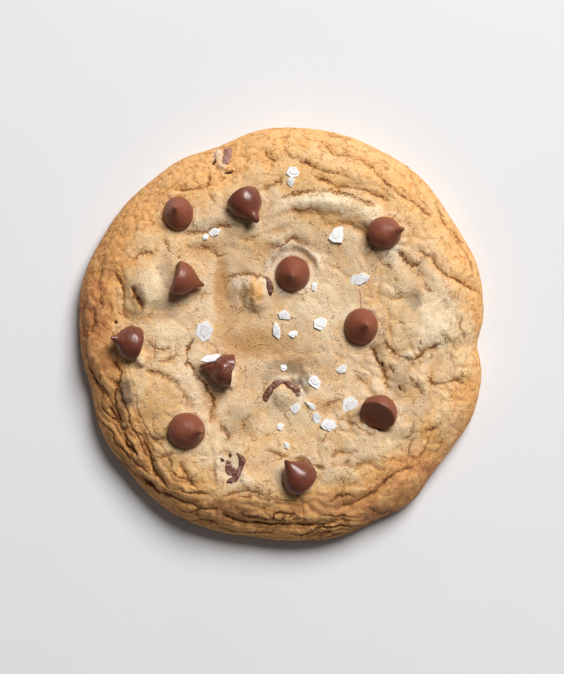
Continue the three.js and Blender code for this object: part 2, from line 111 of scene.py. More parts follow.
# Finer cracks in the crust: path, half width, depth, lift of its left side.
CRACKS = (
    # far side
    (((-5.8, 53), (-2.5, 49.5), (-1, 47.5)), 0.4, 0.5, 0.2),
    (((-20.5, 41.5), (-19.8, 38), (-19.3, 36.3)), 0.4, 0.5, 0.2),
    (((4, 49), (11, 46.3), (20, 44)), 0.6, 0.6, 0.3),
    (((0, 53), (3, 50), (6, 49.5)), 0.4, 0.4, 0.2),
    (((12, 57), (16, 56), (20, 54.5)), 0.5, 0.5, 0.2),
    (((42, 42), (43, 39)), 0.4, 0.4, 0.2),
    (((15, 31.3), (19, 30.6), (23, 28.6)), 0.5, 0.5, 0.3),
    # right side
    (((32.5, 24.5), (34, 21), (37, 19.4), (40, 20.6)), 0.8, 0.9, 0.4),
    (((38, 24.5), (40, 22), (42.5, 22.5)), 0.5, 0.6, 0.3),
    (((30, 16.5), (31.5, 15), (33.5, 16)), 0.5, 0.4, 0.2),
    (((39.8, 15), (41, 12.5), (42.3, 10.5)), 0.4, 0.4, 0.2),
    (((50, 6), (50, 1), (52.5, -4)), 0.4, 0.4, 0.2),
    (((41.7, -5), (42.3, -7), (43, -8.5)), 0.35, 0.5, 0.2),
    (((43, 1), (46, -2), (44.8, -3.8)), 0.35, 0.5, 0.2),
    (((29, -8), (32, -12)), 0.4, 0.5, 0.2),
    (((34.5, -11), (38.5, -16), (40, -17.8)), 0.35, 0.4, 0.2),
    (((51.5, -10), (51, -12), (52, -13.5)), 0.35, 0.4, 0.2),
    (((47, -16.5), (50, -19.5)), 0.5, 0.5, 0.2),
    (((39, -26.5), (42, -27), (44, -25.5)), 0.8, 0.6, 0.3),
    (((48, 26.6), (52.5, 22.8), (53.8, 17.7), (52.5, 13.9)), 0.45, 0.5, 0.3),
    (((34, -30.5), (36.5, -27.5), (36, -24)), 0.4, 0.45, 0.2),
    (((35.5, -14.6), (39.3, -16.5)), 0.4, 0.4, 0.2),
    (((45, -33), (42, -33.5)), 0.5, 0.5, 0.2),
    (((35, -36), (30.5, -35.7), (27.5, -34.5)), 0.4, 0.4, 0.3),
    # near side
    (((-28, -47), (-25, -48.2), (-17, -49.3)), 0.5, 0.7, 0.3),
    (((-25.5, -50.5), (-20, -53), (-14.5, -55.8), (-10, -56)), 0.5, 0.7, 0.3),
    (((-7, -57), (-1, -55.8)), 0.5, 0.5, 0.2),
    (((8, -58), (12, -56.5), (20, -55.8), (24, -54.5)), 0.5, 0.7, 0.3),
    (((-28.5, -35), (-28, -38), (-25, -42), (-23, -43.5)), 0.4, 0.6, 0.3),
    (((-32, -41), (-30, -42.5), (-27, -41.5)), 0.45, 0.5, 0.2),
    (((-6, -31.5), (-1, -34), (2, -34.3)), 0.35, 0.35, 0.2),
    (((3, -35.5), (6, -35.5), (9, -37.5), (13, -38)), 0.6, 0.8, 0.3),
    (((19.5, -34.5), (21, -35.5), (21.3, -37)), 0.3, 0.35, 0.1),
    (((16, -39.5), (18, -41)), 0.3, 0.3, 0.1),
    (((12.6, -34.5), (16, -33.5), (21, -33), (22, -31.4)), 0.4, 0.5, 0.3),
    (((13, -38), (17.7, -36), (19.5, -34.5)), 0.4, 0.45, 0.2),
    (((19, -38.2), (22.8, -37), (27.2, -38.2), (29.8, -37.3)), 0.4, 0.5, 0.3),
    (((24, -48), (27.9, -50.7), (33, -50)), 0.45, 0.5, 0.3),
    (((-17.7, -45.6), (-13.9, -44.9), (-9.5, -44.3), (-5, -45.3), (-1.2, -44.6)), 0.45, 0.5, 0.3),
    (((-38, -28.9), (-34.5, -29.8), (-32, -29)), 0.7, 0.7, 0.3),
    (((-36.7, -34.2), (-34.8, -34.7), (-31.6, -34.5), (-29.1, -33.3)), 0.45, 0.5, 0.3),
    (((17, -23), (24, -27.7), (27, -27.5)), 0.4, 0.5, 0.3),
    (((10, -21), (15, -19.3), (17, -19)), 0.4, 0.4, 0.2),
    # left side
    (((-48.5, 10), (-48.7, 7), (-48, 4)), 0.4, 0.6, 0.3),
    (((-50.6, 23.4), (-51.3, 18.5), (-52.2, 13), (-50.5, 6)), 0.35, 0.45, 0.2),
    (((-55, 13), (-56.3, 5), (-55.8, -2)), 0.35, 0.4, 0.2),
    (((-53.5, 8), (-53.5, 2), (-53.8, -1)), 0.35, 0.4, 0.2),
    (((-52, -10), (-51.5, -13), (-48.5, -18)), 0.4, 0.7, 0.3),
    (((-50, -19.5), (-48, -22.5), (-45, -26)), 0.5, 0.8, 0.3),
    (((-43.5, -33.5), (-42, -36), (-36.5, -40)), 0.5, 0.8, 0.3),
    (((-40, -40), (-36, -44.5), (-34.5, -46)), 0.45, 0.7, 0.3),
    (((-34, -44), (-32, -46.5), (-30.8, -47.5)), 0.45, 0.6, 0.3),
    # middle
    (((-18, -24.5), (-17, -26.5), (-15, -28.5), (-15.2, -31.6)), 0.4, 0.5, 0.2),
    (((-38, -2), (-34, -4.5), (-30, -4)), 0.35, 0.4, 0.2),
    (((-33, -8.5), (-30, -6.5), (-28.5, -3.5)), 0.35, 0.35, 0.2),
    (((-43, 20), (-39, 23), (-35, 22.5)), 0.5, 0.4, 0.3),
    (((-20.9, 23.4), (-17.7, 21.8), (-15.2, 23.4)), 0.4, 0.4, 0.2),
    (((20.5, -11), (23, -13.5), (22, -16)), 0.35, 0.35, 0.2),
    (((-8, -22.5), (-11, -24.5), (-10.5, -28)), 0.35, 0.35, 0.2),
    (((-39, -10), (-33, -12), (-28, -16), (-26.5, -21)), 0.35, 0.4, 0.2),
    (((-37, -5), (-34, -7.5)), 0.3, 0.3, 0.1),
    (((-28, 27.5), (-21, 29), (-18, 30.5), (-12, 29.8)), 0.5, 0.5, 0.4),
    (((-27.5, 24.7), (-21.5, 24.3), (-19.8, 22.5)), 0.5, 0.5, 0.3),
    (((-33, 28), (-32.5, 25), (-32, 22)), 0.4, 0.5, 0.3),
    (((-10, 26.5), (-5, 27.5)), 0.5, 0.3, 0.2),
    (((-16, 16), (-10, 16.8), (-4.5, 16)), 0.45, 0.6, 0.2),
    (((-3, 22.5), (0, 25.5), (3, 26.3), (7, 25), (9, 22.8)), 0.45, 0.6, 0.4),
    (((4, -11.5), (6, -14.5), (8, -16)), 0.6, 0.6, 0.3),
)

# Small holes where the crust has broken, painted near black as the shade inside them: middle, half sizes,
# turn in degrees, depth.
HOLES = (
    (-15.2, 45.7, 1.2, 0.45, 12, 1.0), (-19.2, 48.8, 0.9, 0.4, 70, 0.8),
    (-16.8, -35.5, 0.4, 0.35, 0, 0.8), (-14.7, -34.4, 0.7, 0.4, 100, 0.8),
    (-29.2, 21.5, 0.5, 0.35, 30, 0.6), (33.2, -15.3, 0.9, 0.4, 100, 0.7),
    (28.2, -8.6, 0.8, 0.35, 110, 0.7), (-47.0, 3.2, 0.7, 0.4, 80, 0.8),
)

# Small flaps and hollows of dough over the chocolate and beside it: middle, half sizes, height.
FLAPS = (
    (-39.7, -7.0, 1.4, 2.5, 1.5), (-14.6, -13.2, 1.7, 2.0, 1.2), (12, 35.6, 10, 1.9, 0.4),
    (30.5, -33, 4, 3, 0.5), (-17.8, 50.0, 1.3, 2.0, 0.7), (-16.6, 47.0, 1.5, 0.8, 0.6),
    (4.4, -12.8, 2.0, 1.0, 0.8), (0.4, -17.6, 2.5, 2.7, 0.45), (-17.7, -38.2, 1.2, 2.4, 0.7),
    (-10.2, -40.6, 1.3, 2.2, 0.6), (1.4, -12.4, 2.4, 0.8, 0.6), (-7.2, 11.6, 1.6, 4.0, 0.9),
    (-11.2, 10.6, 1.1, 3.8, -0.5), (-43.6, -15.5, 1.6, 4.2, 0.5), (25.3, -25.0, 3.4, 2.3, -1.5),
    (28.5, -26.6, 2.4, 1.6, -0.8),
)

# The crater that the middle chip has melted round itself: middle, radius of its lip, height of the lip, and
# the direction in degrees that the lip stands in.
CRATER = (3.0, 17.4, 7.6, 0.75, 88)

# Whole chips: middle of the body, rise over the dough, lean and direction of the lean in degrees, curl of
# the tip, height against the plain chip, stretch along X and Y, bluntness of the tip, and melting.
CHIPS = {
    "chip_north_west": (-29.3, 34.0, 1.0, 11, 122, 0.5, 1.0, 0.88, 1.0, 0.0, 0.1),
    "chip_north": (-10.0, 36.3, 1.4, 58, -58, 1.0, 1.06, 1.0, 1.0, 0.35, 0.1),
    "chip_north_east": (29.5, 28.6, 1.1, 40, 10, 0.9, 1.0, 1.0, 0.93, 0.1, 0.1),
    "chip_centre": (3.0, 16.8, 1.2, 3, -110, 0.2, 1.0, 0.98, 1.03, 0.0, 0.08),
    "chip_east": (22.5, 2.1, 1.2, 8, 15, 0.5, 1.0, 0.98, 1.05, 0.0, 0.08),
    "chip_west": (-27.6, 15.3, 3.0, 101, -16, 0.6, 1.04, 1.0, 0.97, 0.0, 0.1),
    "chip_west_edge": (-43.2, -2.3, 1.5, 62, 163, -0.7, 1.0, 0.95, 1.0, 0.15, 0.25),
    "chip_south_west": (-26.2, -27.3, 1.0, 30, -2, 0.6, 1.0, 1.09, 1.03, 0.0, 0.1),
    "chip_middle": (-16.5, -9.9, 2.6, 84, 172, 0.6, 1.1, 1.0, 0.95, 0.0, 0.45),
    "chip_south_east": (27.7, -21.1, 1.6, 132, 61, 0, 0.95, 1.05, 1.05, 0.0, 0.1),
    "chip_south": (4.4, -39.8, 1.5, 60, 128, -0.9, 1.2, 1.0, 1.0, 0.0, 0.1),
}

# How pale the ring of dough round a chip is, where it has drawn back from the chip.
PALE_RINGS = {"chip_north_east": 0.4, "chip_centre": 0.9, "chip_south_east": 0.7, "chip_west": 0.5}

# Chocolate that shows through the dough, each as strokes: path, width, rise over the dough.
RIBBONS = {
    "covered_north": (
        (((-16.5, 47.2), (-15.7, 48.8), (-15.2, 50.4), (-14.9, 52.5)), 3.6, 0.4),
        (((-17.0, 48.9), (-16.2, 48.1), (-14.6, 48.0)), 1.7, 0.25),
    ),
    "covered_middle": (
        (((-4.9, -20.2), (-4.4, -17.8), (-2.8, -15.5), (-0.9, -14.0), (0.9, -13.8)), 2.5, 0.4),
        (((0.1, -13.8), (1.6, -14.3), (3.2, -15.3), (4.3, -16.7), (4.8, -18.4)), 2.4, 0.4),
    ),
    "covered_south_west": (
        (((-15.5, -35.4), (-14.8, -37.4), (-14.1, -39), (-13.3, -40.8)), 3.3, 0.55),
        (((-12.7, -33.4), (-11.3, -35.4), (-11.4, -37.8), (-12.8, -40.3), (-16.0, -42.3)), 1.9, 0.4),
    ),
    "covered_centre": ((((-5.5, 16.8), (-4.2, 14.7), (-3.6, 13.0), (-3.4, 10.4)), 2.4, 0.4),),
}
RIBBON_FLATNESS = 0.62
RIBBON_ROUGHNESS = 1.1

# Finishes of chocolate: colour, roughness, spread of the roughness, coat, share of crumbs that stick to it.
CHOCOLATES = {
    "milk_chocolate": ((0.275, 0.094, 0.053), 0.4, 0.14, 0.2, 0.0),
    "softened_chocolate": ((0.2, 0.062, 0.035), 0.36, 0.14, 0.65, 0.0),
    "sugared_chocolate": ((0.21, 0.064, 0.036), 0.34, 0.16, 0.6, 0.3),
    "melted_chocolate": ((0.19, 0.073, 0.045), 0.45, 0.25, 0.2, 0.6),
    # a paler, greyer chocolate, used for the northern ribbon
    "bloomed_chocolate": ((0.34, 0.165, 0.12), 0.5, 0.25, 0.1, 0.5),
}
# A whole chip or a ribbon has the first finish of its kind, apart from these.
CHIP_FINISHES = ("milk_chocolate", "softened_chocolate", "sugared_chocolate")
RIBBON_FINISHES = ("melted_chocolate", "bloomed_chocolate")
OTHER_FINISH = {
    "chip_north": "softened_chocolate",
    "chip_west_edge": "softened_chocolate",
    "chip_south": "softened_chocolate",
    "chip_middle": "sugared_chocolate",
    "covered_north": "bloomed_chocolate",
}

# Salt flakes: middle, length, width, turn in degrees.
SALT_FLAKES = (
    (3.3, 45.4, 3.6, 2.8, 10), (2.4, 42.9, 2.2, 1.8, 40), (15.5, 27.8, 5.2, 3.8, 65),
    (21.8, 15.2, 6.0, 3.4, 18), (9.2, 13.4, 2.3, 1.8, 80), (-18.8, 28.6, 3.0, 2.4, 20),
    (-21.7, 27.3, 2.3, 1.8, 60), (0.6, 5.2, 3.3, 2.4, 150), (10.9, 2.8, 4.0, 3.3, 35),
    (-1.5, 0.7, 4.2, 2.8, 100), (3.2, 0, 2.4, 1.9, 15), (-21.8, 0.8, 5.8, 4.6, 75),
    (0.4, -9.7, 2.0, 1.3, 90), (16.7, -9.8, 2.8, 2.4, 30), (9.5, -13.5, 4.0, 2.4, 120),
    (3.8, -21, 3.5, 2.9, 45), (8.0, -20, 3.1, 1.5, -45), (9.8, -23.5, 3.0, 2.4, 70),
    (13.0, -25.6, 4.6, 2.8, -10), (19.3, -20, 5.0, 4.6, 30), (-0.3, -26, 2.7, 2.2, 85),
    (1.3, -31.5, 1.7, 1.4, 0),
)
SALT_THICKNESS = 0.75
SALT_SUNK = 0.35
SALT_TIP = 7  # most that a flake tips to either side, in degrees
SALT_ON_CHIP = (-19.6, -6.9, 3.9, 6.8, 2.6, 10, 38)  # middle, rise, length, width, turn, tilt
SALT_CHIPPING, CHIPPING_ON_CHIP = 3.2, 1.8

# Where the crust is tinted: middle, half sizes, strength.
CARAMEL = (
    (-17.3, 13, 1.8, 8, 0.9), (-14.5, 4.5, 4, 3, 0.6), (-7, -2.5, 11, 4.5, 0.75), (2, -6, 6, 4, 0.5),
    (-12, 12, 3.2, 5.5, 0.25), (12, -20.3, 5, 1.6, 0.8), (19.5, -23, 3, 1.5, 0.7),
    (25.5, -27.2, 2.5, 1.0, 0.6), (-9, 22, 9, 3, 0.35), (20, 14, 5, 2.5, 0.3),
    (-20, -17.5, 2.5, 1.5, 0.6), (-19.2, -23, 1.2, 3, 0.6), (20, 36, 4, 2, 0.3), (5, 34, 6, 1.4, 0.45),
    (18, 31.5, 6, 1.6, 0.45), (26, 24, 1.6, 4, 0.5), (-20, 23.5, 5, 2, 0.35),
)
# Chocolate showing grey through thin dough, and painted shade in the grey hollows beside the domes and
# ribbons.
BURIED_CHOCOLATE_AND_SHADE = (
    (-43.6, -16.0, 1.8, 4.0, 1.0), (-43.7, -18.6, 1.6, 1.2, 1.25), (37.3, 10, 2.0, 2.8, 0.75),
    (35, 12.5, 3.5, 3, 0.25), (48.5, 10.5, 3.5, 2.5, 0.25), (39, -19.5, 3.5, 3, 0.25),
    (-1.5, -8.8, 3.5, 1.3, 0.55), (-3, -12, 3, 1.5, 0.5), (3.2, -9.6, 3.2, 1.9, 0.85),
    (5.9, -12.4, 1.7, 2.4, 0.95), (7, -15, 1.2, 2.0, 0.6), (0.5, -18, 3.4, 2.4, 0.3),
    (28.3, -1.5, 1.6, 4, 0.4), (-18, 25.5, 6, 2.2, 0.35), (-34, 8, 3.5, 1.4, 0.4),
    (33, -14, 2.5, 4, 0.45), (-12, -25, 4.5, 4.5, 0.4), (-9, 8, 3, 1.6, 0.45),
    (-10.7, 11, 1.1, 3.8, 0.5), (-12.8, 10.4, 2.4, 3.4, 0.4), (-7.6, 7, 3.2, 1.0, 0.5),
    (-13, -48.7, 6, 2.6, 0.3), (14, -46.8, 6.5, 2.8, 0.3), (30, -43, 4, 2.5, 0.15),
    (-1.5, 22, 2.5, 3.5, 0.4), (-40.5, 9.5, 2.0, 4, 0.6), (-34.5, -29, 4.5, 1.2, 0.5),
    (-32.7, 17.5, 1.7, 4.5, 0.5), (-20, 31, 6, 1.5, 0.3),
)
PALE_FLAPS = (
    (-18, 50.5, 1.6, 2, 0.8), (-17, 47.6, 1.2, 1.0, 0.7), (4, -13, 1.6, 0.8, 0.6),
    (-17.5, -38, 1.4, 2.2, 0.6), (-10.5, -41, 1.5, 1.5, 0.6), (3.0, 22.0, 5.6, 3.0, 0.95),
    (-2.6, 19.6, 1.2, 2.4, 0.8), (8.6, 18.6, 1.1, 2.6, 0.8), (0.5, -12.4, 3.8, 1.2, 0.65),
    (5.6, -15.6, 1.2, 2.6, 1.0), (-3.3, -17.6, 0.8, 2.0, 0.6), (-14.5, -36, 3.4, 3.4, 0.55),
    (-13, -38.5, 3.0, 3.4, 0.6), (28.7, 24.2, 3.4, 0.8, 0.9), (25.2, 27.6, 0.8, 2.8, 1.0),
    (32, 24.3, 1.6, 0.8, 0.7), (30.5, 22, 2.5, 2, 0.35), (-4.7, 14.2, 0.8, 3, 0.6),
    (-12, 14.6, 2.6, 1.4, 0.75), (27, -27, 3, 0.8, 0.5), (-15.5, -13.3, 1.4, 1.6, 0.5),
)
GOLDEN = (
    (-7.2, 11.5, 2.0, 3.8, 1.3), (-39, 23, 6, 6, 0.3), (49, -9, 4.5, 14, 0.6), (33, -29.5, 5, 4, 0.4),
    (-4, 44.5, 4, 3, 0.5), (32, 8, 7, 14, 0.3), (-8, -41, 6, 5, 0.35), (-41, 7, 3, 5, 0.6),
    (-36, -20, 8, 10, 0.75), (-33, 33, 7, 5, 0.6), (-25, 41, 6, 5, 0.5), (-5, 47, 9, 6, 0.45),
    (12, 45, 9, 4, 0.8), (5, 41.5, 6, 2, 0.5), (34, 33, 7, 8, 0.65), (27, 41, 7, 5, 0.75),
    (35, 22, 4, 4, 0.3), (40, -30, 7, 7, 0.5), (41, -14, 6, 5, 0.35), (32, -40, 7, 4, 0.5),
    (-24, -40, 7, 5, 0.45), (-8, -49, 14, 4, 0.6), (14, -48, 12, 5, 0.7),
)
CREAMY = (
    (13, 37.2, 11, 2.0, 0.48), (24.5, 35, 3, 1.4, 0.7), (-39, 25, 4, 4.5, 0.35), (2, 0, 5, 4, 0.4),
    (-40.3, -15, 2.2, 5, 0.45), (-27, -12, 3, 5, 0.3), (44, 4, 5, 9, 0.8), (36, 0, 5, 5, 0.3),
    (12, 9, 8, 7, 0.6), (50, -3, 4, 9, 0.4), (47, -24, 4, 6, 0.35), (32, -30, 5.5, 4.5, 0.4),
    (-33, 14, 6, 6, 0.25), (30, 22, 4, 3, 0.4), (-30, -1, 5, 5, 0.3), (-20, -33, 4, 4, 0.3),
    (34, 12, 4, 6, 0.3), (2, -24, 8, 5, 0.25),
)
# Where the crust is painted darker than round about, partly browning and partly painted shade, as on the left
# rim: middle, half sizes, how much.
BROWNED_AND_SHADED = (
    (12, 43.5, 15, 4, 0.12), (31, 38, 8, 8, 0.1), (50, 22, 6, 9, 0.05), (-13, -49, 6, 4, 0.26),
    (13, -47.5, 9, 4, 0.32), (24, -49.5, 9, 3.5, 0.26), (37, -40, 9, 6, 0.28),
    (41, -26.5, 2.5, 2.2, 0.22), (-48, -3, 4, 9, 0.13), (52, -22, 5, 8, 0.1), (-34, 20, 5, 5, 0.1),
    (0, -30, 12, 4, 0.1), (32, 6, 7, 10, 0.07), (-10, -2, 6, 4, 0.08), (-24, 24, 7, 4, 0.22),
    (-38, 10, 4, 6, 0.2), (-53, 4, 5, 12, 0.2), (-47, 22, 5, 8, 0.08), (-24, 22, 5, 5, 0.2),
    (-12, -29, 7, 6, 0.14), (13, 32, 10, 2.5, 0.16), (-9, 25, 6, 3, 0.1),
)
# How much further in the browning of the rim reaches: direction and spread in degrees, millimetres.
BAKE_REACH = ((0, 24, -5), (60, 20, 1), (125, 25, 3), (290, 30, 2))
# Where specks of caramelised sugar lie thickest.
FRECKLED = (
    (1, 20, 10, 8, 1.0), (-5, -16, 7, 5, 0.6), (25, 12, 5, 6, 0.5), (14, 32.5, 11, 3.5, 0.9),
    (29, 21, 5, 6, 0.8), (-23, 27, 7, 5, 0.8), (36, -24, 7, 6, 0.6), (-13, -30, 8, 6, 0.6),
    (-31, -6, 6, 6, 0.6), (8, -33, 10, 4, 0.5), (-12, -43, 8, 4, 0.6), (20, 6, 9, 8, 0.4),
)
# The fields that the finish reads by name, and how ragged their edges are.
TINTS = {
    "caramel": (CARAMEL, 0.28),
    "buried_chocolate_and_shade": (BURIED_CHOCOLATE_AND_SHADE, 0.25),
    "gold": (GOLDEN, 0.35),
    "cream": (CREAMY, 0.35),
    "freckles": (FRECKLED, 0.4),
    "pale": (PALE_FLAPS, 0.5),
}


# ---------------------------------------------------------------- numbers on fields of points
def smooth(t):
    c = np.clip(t, 0.0, 1.0)
    return c * c * (3 - 2 * c)


def hump(t):
    """1 at 0, falling to 0 on either side."""
    return np.exp(-(t**2))


def facing(angle, direction):
    """1 where the angle points in the direction, which is in degrees, and -1 opposite."""
    return np.cos(angle - math.radians(direction))


def along_and_across(x, y, middle_x, middle_y, turn):
    """Places measured from a middle, along a direction and across it."""
    u = (x - middle_x) * math.cos(turn) + (y - middle_y) * math.sin(turn)
    v = -(x - middle_x) * math.sin(turn) + (y - middle_y) * math.cos(turn)
    return u, v


def bulges(angle, rows):
    """The rows' amounts, each fading away from its direction: direction and spread in degrees, amount."""
    total = np.zeros_like(angle)
    for direction, spread, amount in rows:
        off = (np.degrees(angle) - direction + 540) % 360 - 180
        total = total + amount * hump(off / spread)
    return total


def lattice(i, j, seed):
    """A repeatable number from 0 to 1 for each lattice point."""
    v = np.sin(i * 127.1 + j * 311.7 + seed * 74.7) * 43758.5453
    return v - np.floor(v)


def noise(x, y, seed):
    """Smooth noise from -1 to 1 with features about one unit across."""
    i, j = np.floor(x), np.floor(y)
    u, v = smooth(x - i), smooth(y - j)
    low = lattice(i, j, seed) * (1 - u) + lattice(i + 1, j, seed) * u
    high = lattice(i, j + 1, seed) * (1 - u) + lattice(i + 1, j + 1, seed) * u
    return 2 * (low * (1 - v) + high * v) - 1


def layered_noise(x, y, size, seed, octaves=3, fade=0.5):
    total, share, turned_x, turned_y = 0.0, 1.0, x / size, y / size
    for k in range(octaves):
        total = total + share * noise(turned_x, turned_y, seed + 13 * k)
        turned_x, turned_y = 1.6 * turned_x - 1.2 * turned_y + 5.3, 1.2 * turned_x + 1.6 * turned_y - 2.7
        share *= fade
    return total


def cells(u, v, seed):
    """How far each point is from the border between puffed cells one unit across: 0 on the border."""
    i, j = np.floor(u), np.floor(v)
    nearest = np.full(np.shape(u), 9.0)
    second = nearest.copy()
    for di in (-1, 0, 1):
        for dj in (-1, 0, 1):
            cx = i + di + 0.15 + 0.7 * lattice(i + di, j + dj, seed)
            cy = j + dj + 0.15 + 0.7 * lattice(i + di, j + dj, seed + 5)
            away = np.hypot(u - cx, v - cy)
            second = np.minimum(second, np.maximum(nearest, away))
            nearest = np.minimum(nearest, away)
    return second - nearest


def rounded_path(points, step):
    """A smooth curve through the points, as closely spaced points."""
    p = np.array(points, float)
    ends = np.vstack([2 * p[0] - p[1], p, 2 * p[-1] - p[-2]])
    out = []
    for k in range(1, len(ends) - 2):
        a, b, c, d = ends[k - 1 : k + 3]
        count = max(2, int(np.hypot(*(c - b)) / step))
        t = np.linspace(0, 1, count, endpoint=False)[:, None]
        bend, twist = 2 * a - 5 * b + 4 * c - d, 3 * b - a - 3 * c + d
        out.append(0.5 * (2 * b + (c - a) * t + bend * t**2 + twist * t**3))
    return np.vstack(out + [p[-1:]])


def beside_path(path, x, y):
    """Distance from the path, which side (+1 is its left), and how far along (0 to 1)."""
    a, b = path[:-1], path[1:]
    d = b - a
    along = ((x[:, None] - a[:, 0]) * d[:, 0] + (y[:, None] - a[:, 1]) * d[:, 1]) / (d**2).sum(1)
    t = np.clip(along, 0, 1)
    gap = np.hypot(x[:, None] - a[:, 0] - t * d[:, 0], y[:, None] - a[:, 1] - t * d[:, 1])
    k = gap.argmin(1)
    rows = np.arange(len(x))
    cross = d[k, 0] * (y - a[k, 1]) - d[k, 1] * (x - a[k, 0])
    return gap[rows, k], np.where(cross < 0, -1.0, 1.0), (k + t[rows, k]) / len(d)


# ---------------------------------------------------------------- the form of the dough
def edge_radius(angle):
    oval = HALF_WIDTH * HALF_LENGTH / np.hypot(HALF_LENGTH * np.cos(angle), HALF_WIDTH * np.sin(angle))
    return oval + bulges(angle, EDGE_SWELLS)


def inset_of(x, y):
    return np.maximum(edge_radius(np.arctan2(y, x)) - np.hypot(x, y), 0)


def lumps(x, y):
    """The uneven ground under all the other relief."""
    return 0.55 * noise(x / 12, y / 12, 1) + 0.3 * noise(x / 5.5, y / 5.5, 2)


def swelling_relief(x, y):
    relief = np.zeros_like(x)
    for cx, cy, half_x, half_y, height in SWELLINGS:
        far = ((x - cx) / half_x) ** 2 + ((y - cy) / half_y) ** 2
        relief += height * np.exp(-(far**1.5))
    return relief


def billow(x, y, size, seed):
    """Rounded puffs with creases between them, about -0.4 to 0.6."""
    return np.abs(noise(x / size, y / size, seed)) ** 0.8 - 0.4


def strayed(path, reach):
    """The path, pushed to either side by up to about the reach."""
    px, py = path.T
    for size, share, seed in ((3.1, 1.0, 31), (1.2, 0.55, 36)):
        jog = np.stack([noise(px / size, py / size, seed), noise(px / size, py / size, seed + 4)], 1)
        path = path + share * reach * jog
    return path


def crack_fields(x, y):
    """Relief of the folds and cracks, signed distance to the nearest (+ on its left), and how open it is."""
    relief, open_by = np.zeros_like(x), np.zeros_like(x)
    signed = np.full_like(x, SEAM_REACH)
    for number, (points, half_width, depth, lift) in enumerate(FOLDS + CRACKS):
        path = strayed(rounded_path(points, PATH_STEP), FINE_JOG if half_width < WIDE_CRACK else WIDE_JOG)
        low, high = path.min(0) - CRACK_REACH, path.max(0) + CRACK_REACH
        near = np.nonzero((x > low[0]) & (x < high[0]) & (y > low[1]) & (y < high[1]))[0]
        gap, side, along = beside_path(path, x[near], y[near])
        length = len(path) * PATH_STEP
        taper = smooth(np.minimum(along, 1 - along) * length / 2.5)
        row = number + 0 * along
        strength = taper * np.clip(0.75 + 0.45 * noise(along * length / 3.0, row * 7.7, 32), 0.1, 1)
        uneven = 0.8 + 0.35 * noise(along * length / 1.6, row * 3.1, 33)
        width = 0.13 + 0.45 * half_width * uneven
        groove = strength * hump(gap / width)
        valley = strength * hump(gap / (0.9 + 1.3 * half_width))
        raised = taper * smooth(gap / (0.8 + 2.2 * half_width)) * hump(gap / 5.5) * (side > 0)
        relief[near] += lift * raised - 0.55 * depth * groove - 0.42 * depth * valley
        closer = gap < np.abs(signed[near])
        signed[near[closer]] = (gap * side)[closer]
        open_by[near[closer]] = (strength * min(1, 0.35 + 0.7 * depth))[closer]
    return relief, signed, open_by


def rim_fields(x, y, arc):
    """The layers of the rim, as relief, signed distance to the nearest seam, and how open it is there."""
    angle = np.arctan2(y, x)
    near_left = smooth((facing(angle, 262) + 0.4) / 1.25)
    near_side = 0.5 + 0.5 * facing(angle, 270)
    share = smooth((arc + 4) / 3) * smooth((RIM_WIDTH - arc) / 7)
    calm = 0.35 + 0.65 * smooth(arc / 5)
    band = arc / LAYER + sum(amount * noise(x / size, y / size, seed) for size, amount, seed in LAYER_DRIFT)
    off = band - np.round(band)
    present = smooth(0.5 + 1.2 * noise(x / 8 + 40, y / 8, 9))
    layers = share * (0.12 + 0.88 * near_left) * present
    groove = hump(off * LAYER / 0.32)
    slab = 0.5 * off + 0.28 * (1 - (2 * off) ** 2)
    long_u = angle * RIM_RADIUS / 7 + 0.4 * noise(x / 4, y / 4, 11)
    long_v = arc / 2.6 + 0.6 * noise(x / 5, y / 5, 12)
    short_u, short_v = (v / 3.5 + 0.4 * noise(x / 2, y / 2, seed) for v, seed in ((x, 14), (y, 15)))
    relief = layers * calm * (0.45 + 0.3 * near_side) * (slab - 0.6 * groove)
    relief += share * calm * 0.1 * (smooth(cells(long_u, long_v, 21) / 0.4) - 0.8)
    relief += share * calm * (0.17 - 0.1 * near_left) * (smooth(cells(short_u, short_v, 22) / 0.4) - 0.8)
    return relief, off * LAYER, np.clip(layers * 1.1, 0, 1)


def flap_relief(x, y):
    relief = np.zeros_like(x)
    ragged = 0.32 * noise(x / 1.4, y / 1.4, 95) + 0.16 * noise(x / 0.7, y / 0.7, 96)
    for cx, cy, half_x, half_y, height in FLAPS:
        far = np.hypot((x - cx) / half_x, (y - cy) / half_y) + ragged
        relief += height * smooth((1.45 - far) / 1.05)
    return relief


def crater_relief(x, y):
    cx, cy, radius, height, direction = CRATER
    away = np.hypot(x - cx, y - cy) + 0.35 * noise(x / 2.3, y / 2.3, 97)
    turned = facing(np.arctan2(y - cy, x - cx), direction)
    lip = hump((away - radius) / 1.1) - 0.45 * smooth((radius - away) / 1.5) * (away > 2)
    return height * lip * smooth((turned + 0.25) / 0.7)


def hole_field(x, y):
    """How deep each point lies in a small hole: 1 at its bottom."""
    deep = np.zeros_like(x)
    ragged_u, ragged_v = (0.25 * noise(x / 0.9, y / 0.9, seed) for seed in (91, 92))
    for cx, cy, half_long, half_wide, turn, depth in HOLES:
        u, v = along_and_across(x, y, cx, cy, math.radians(turn))
        far = np.hypot((u + ragged_u) / half_long, (v + ragged_v) / half_wide)
        deep = np.maximum(deep, depth * smooth(1.5 - far))
    return deep


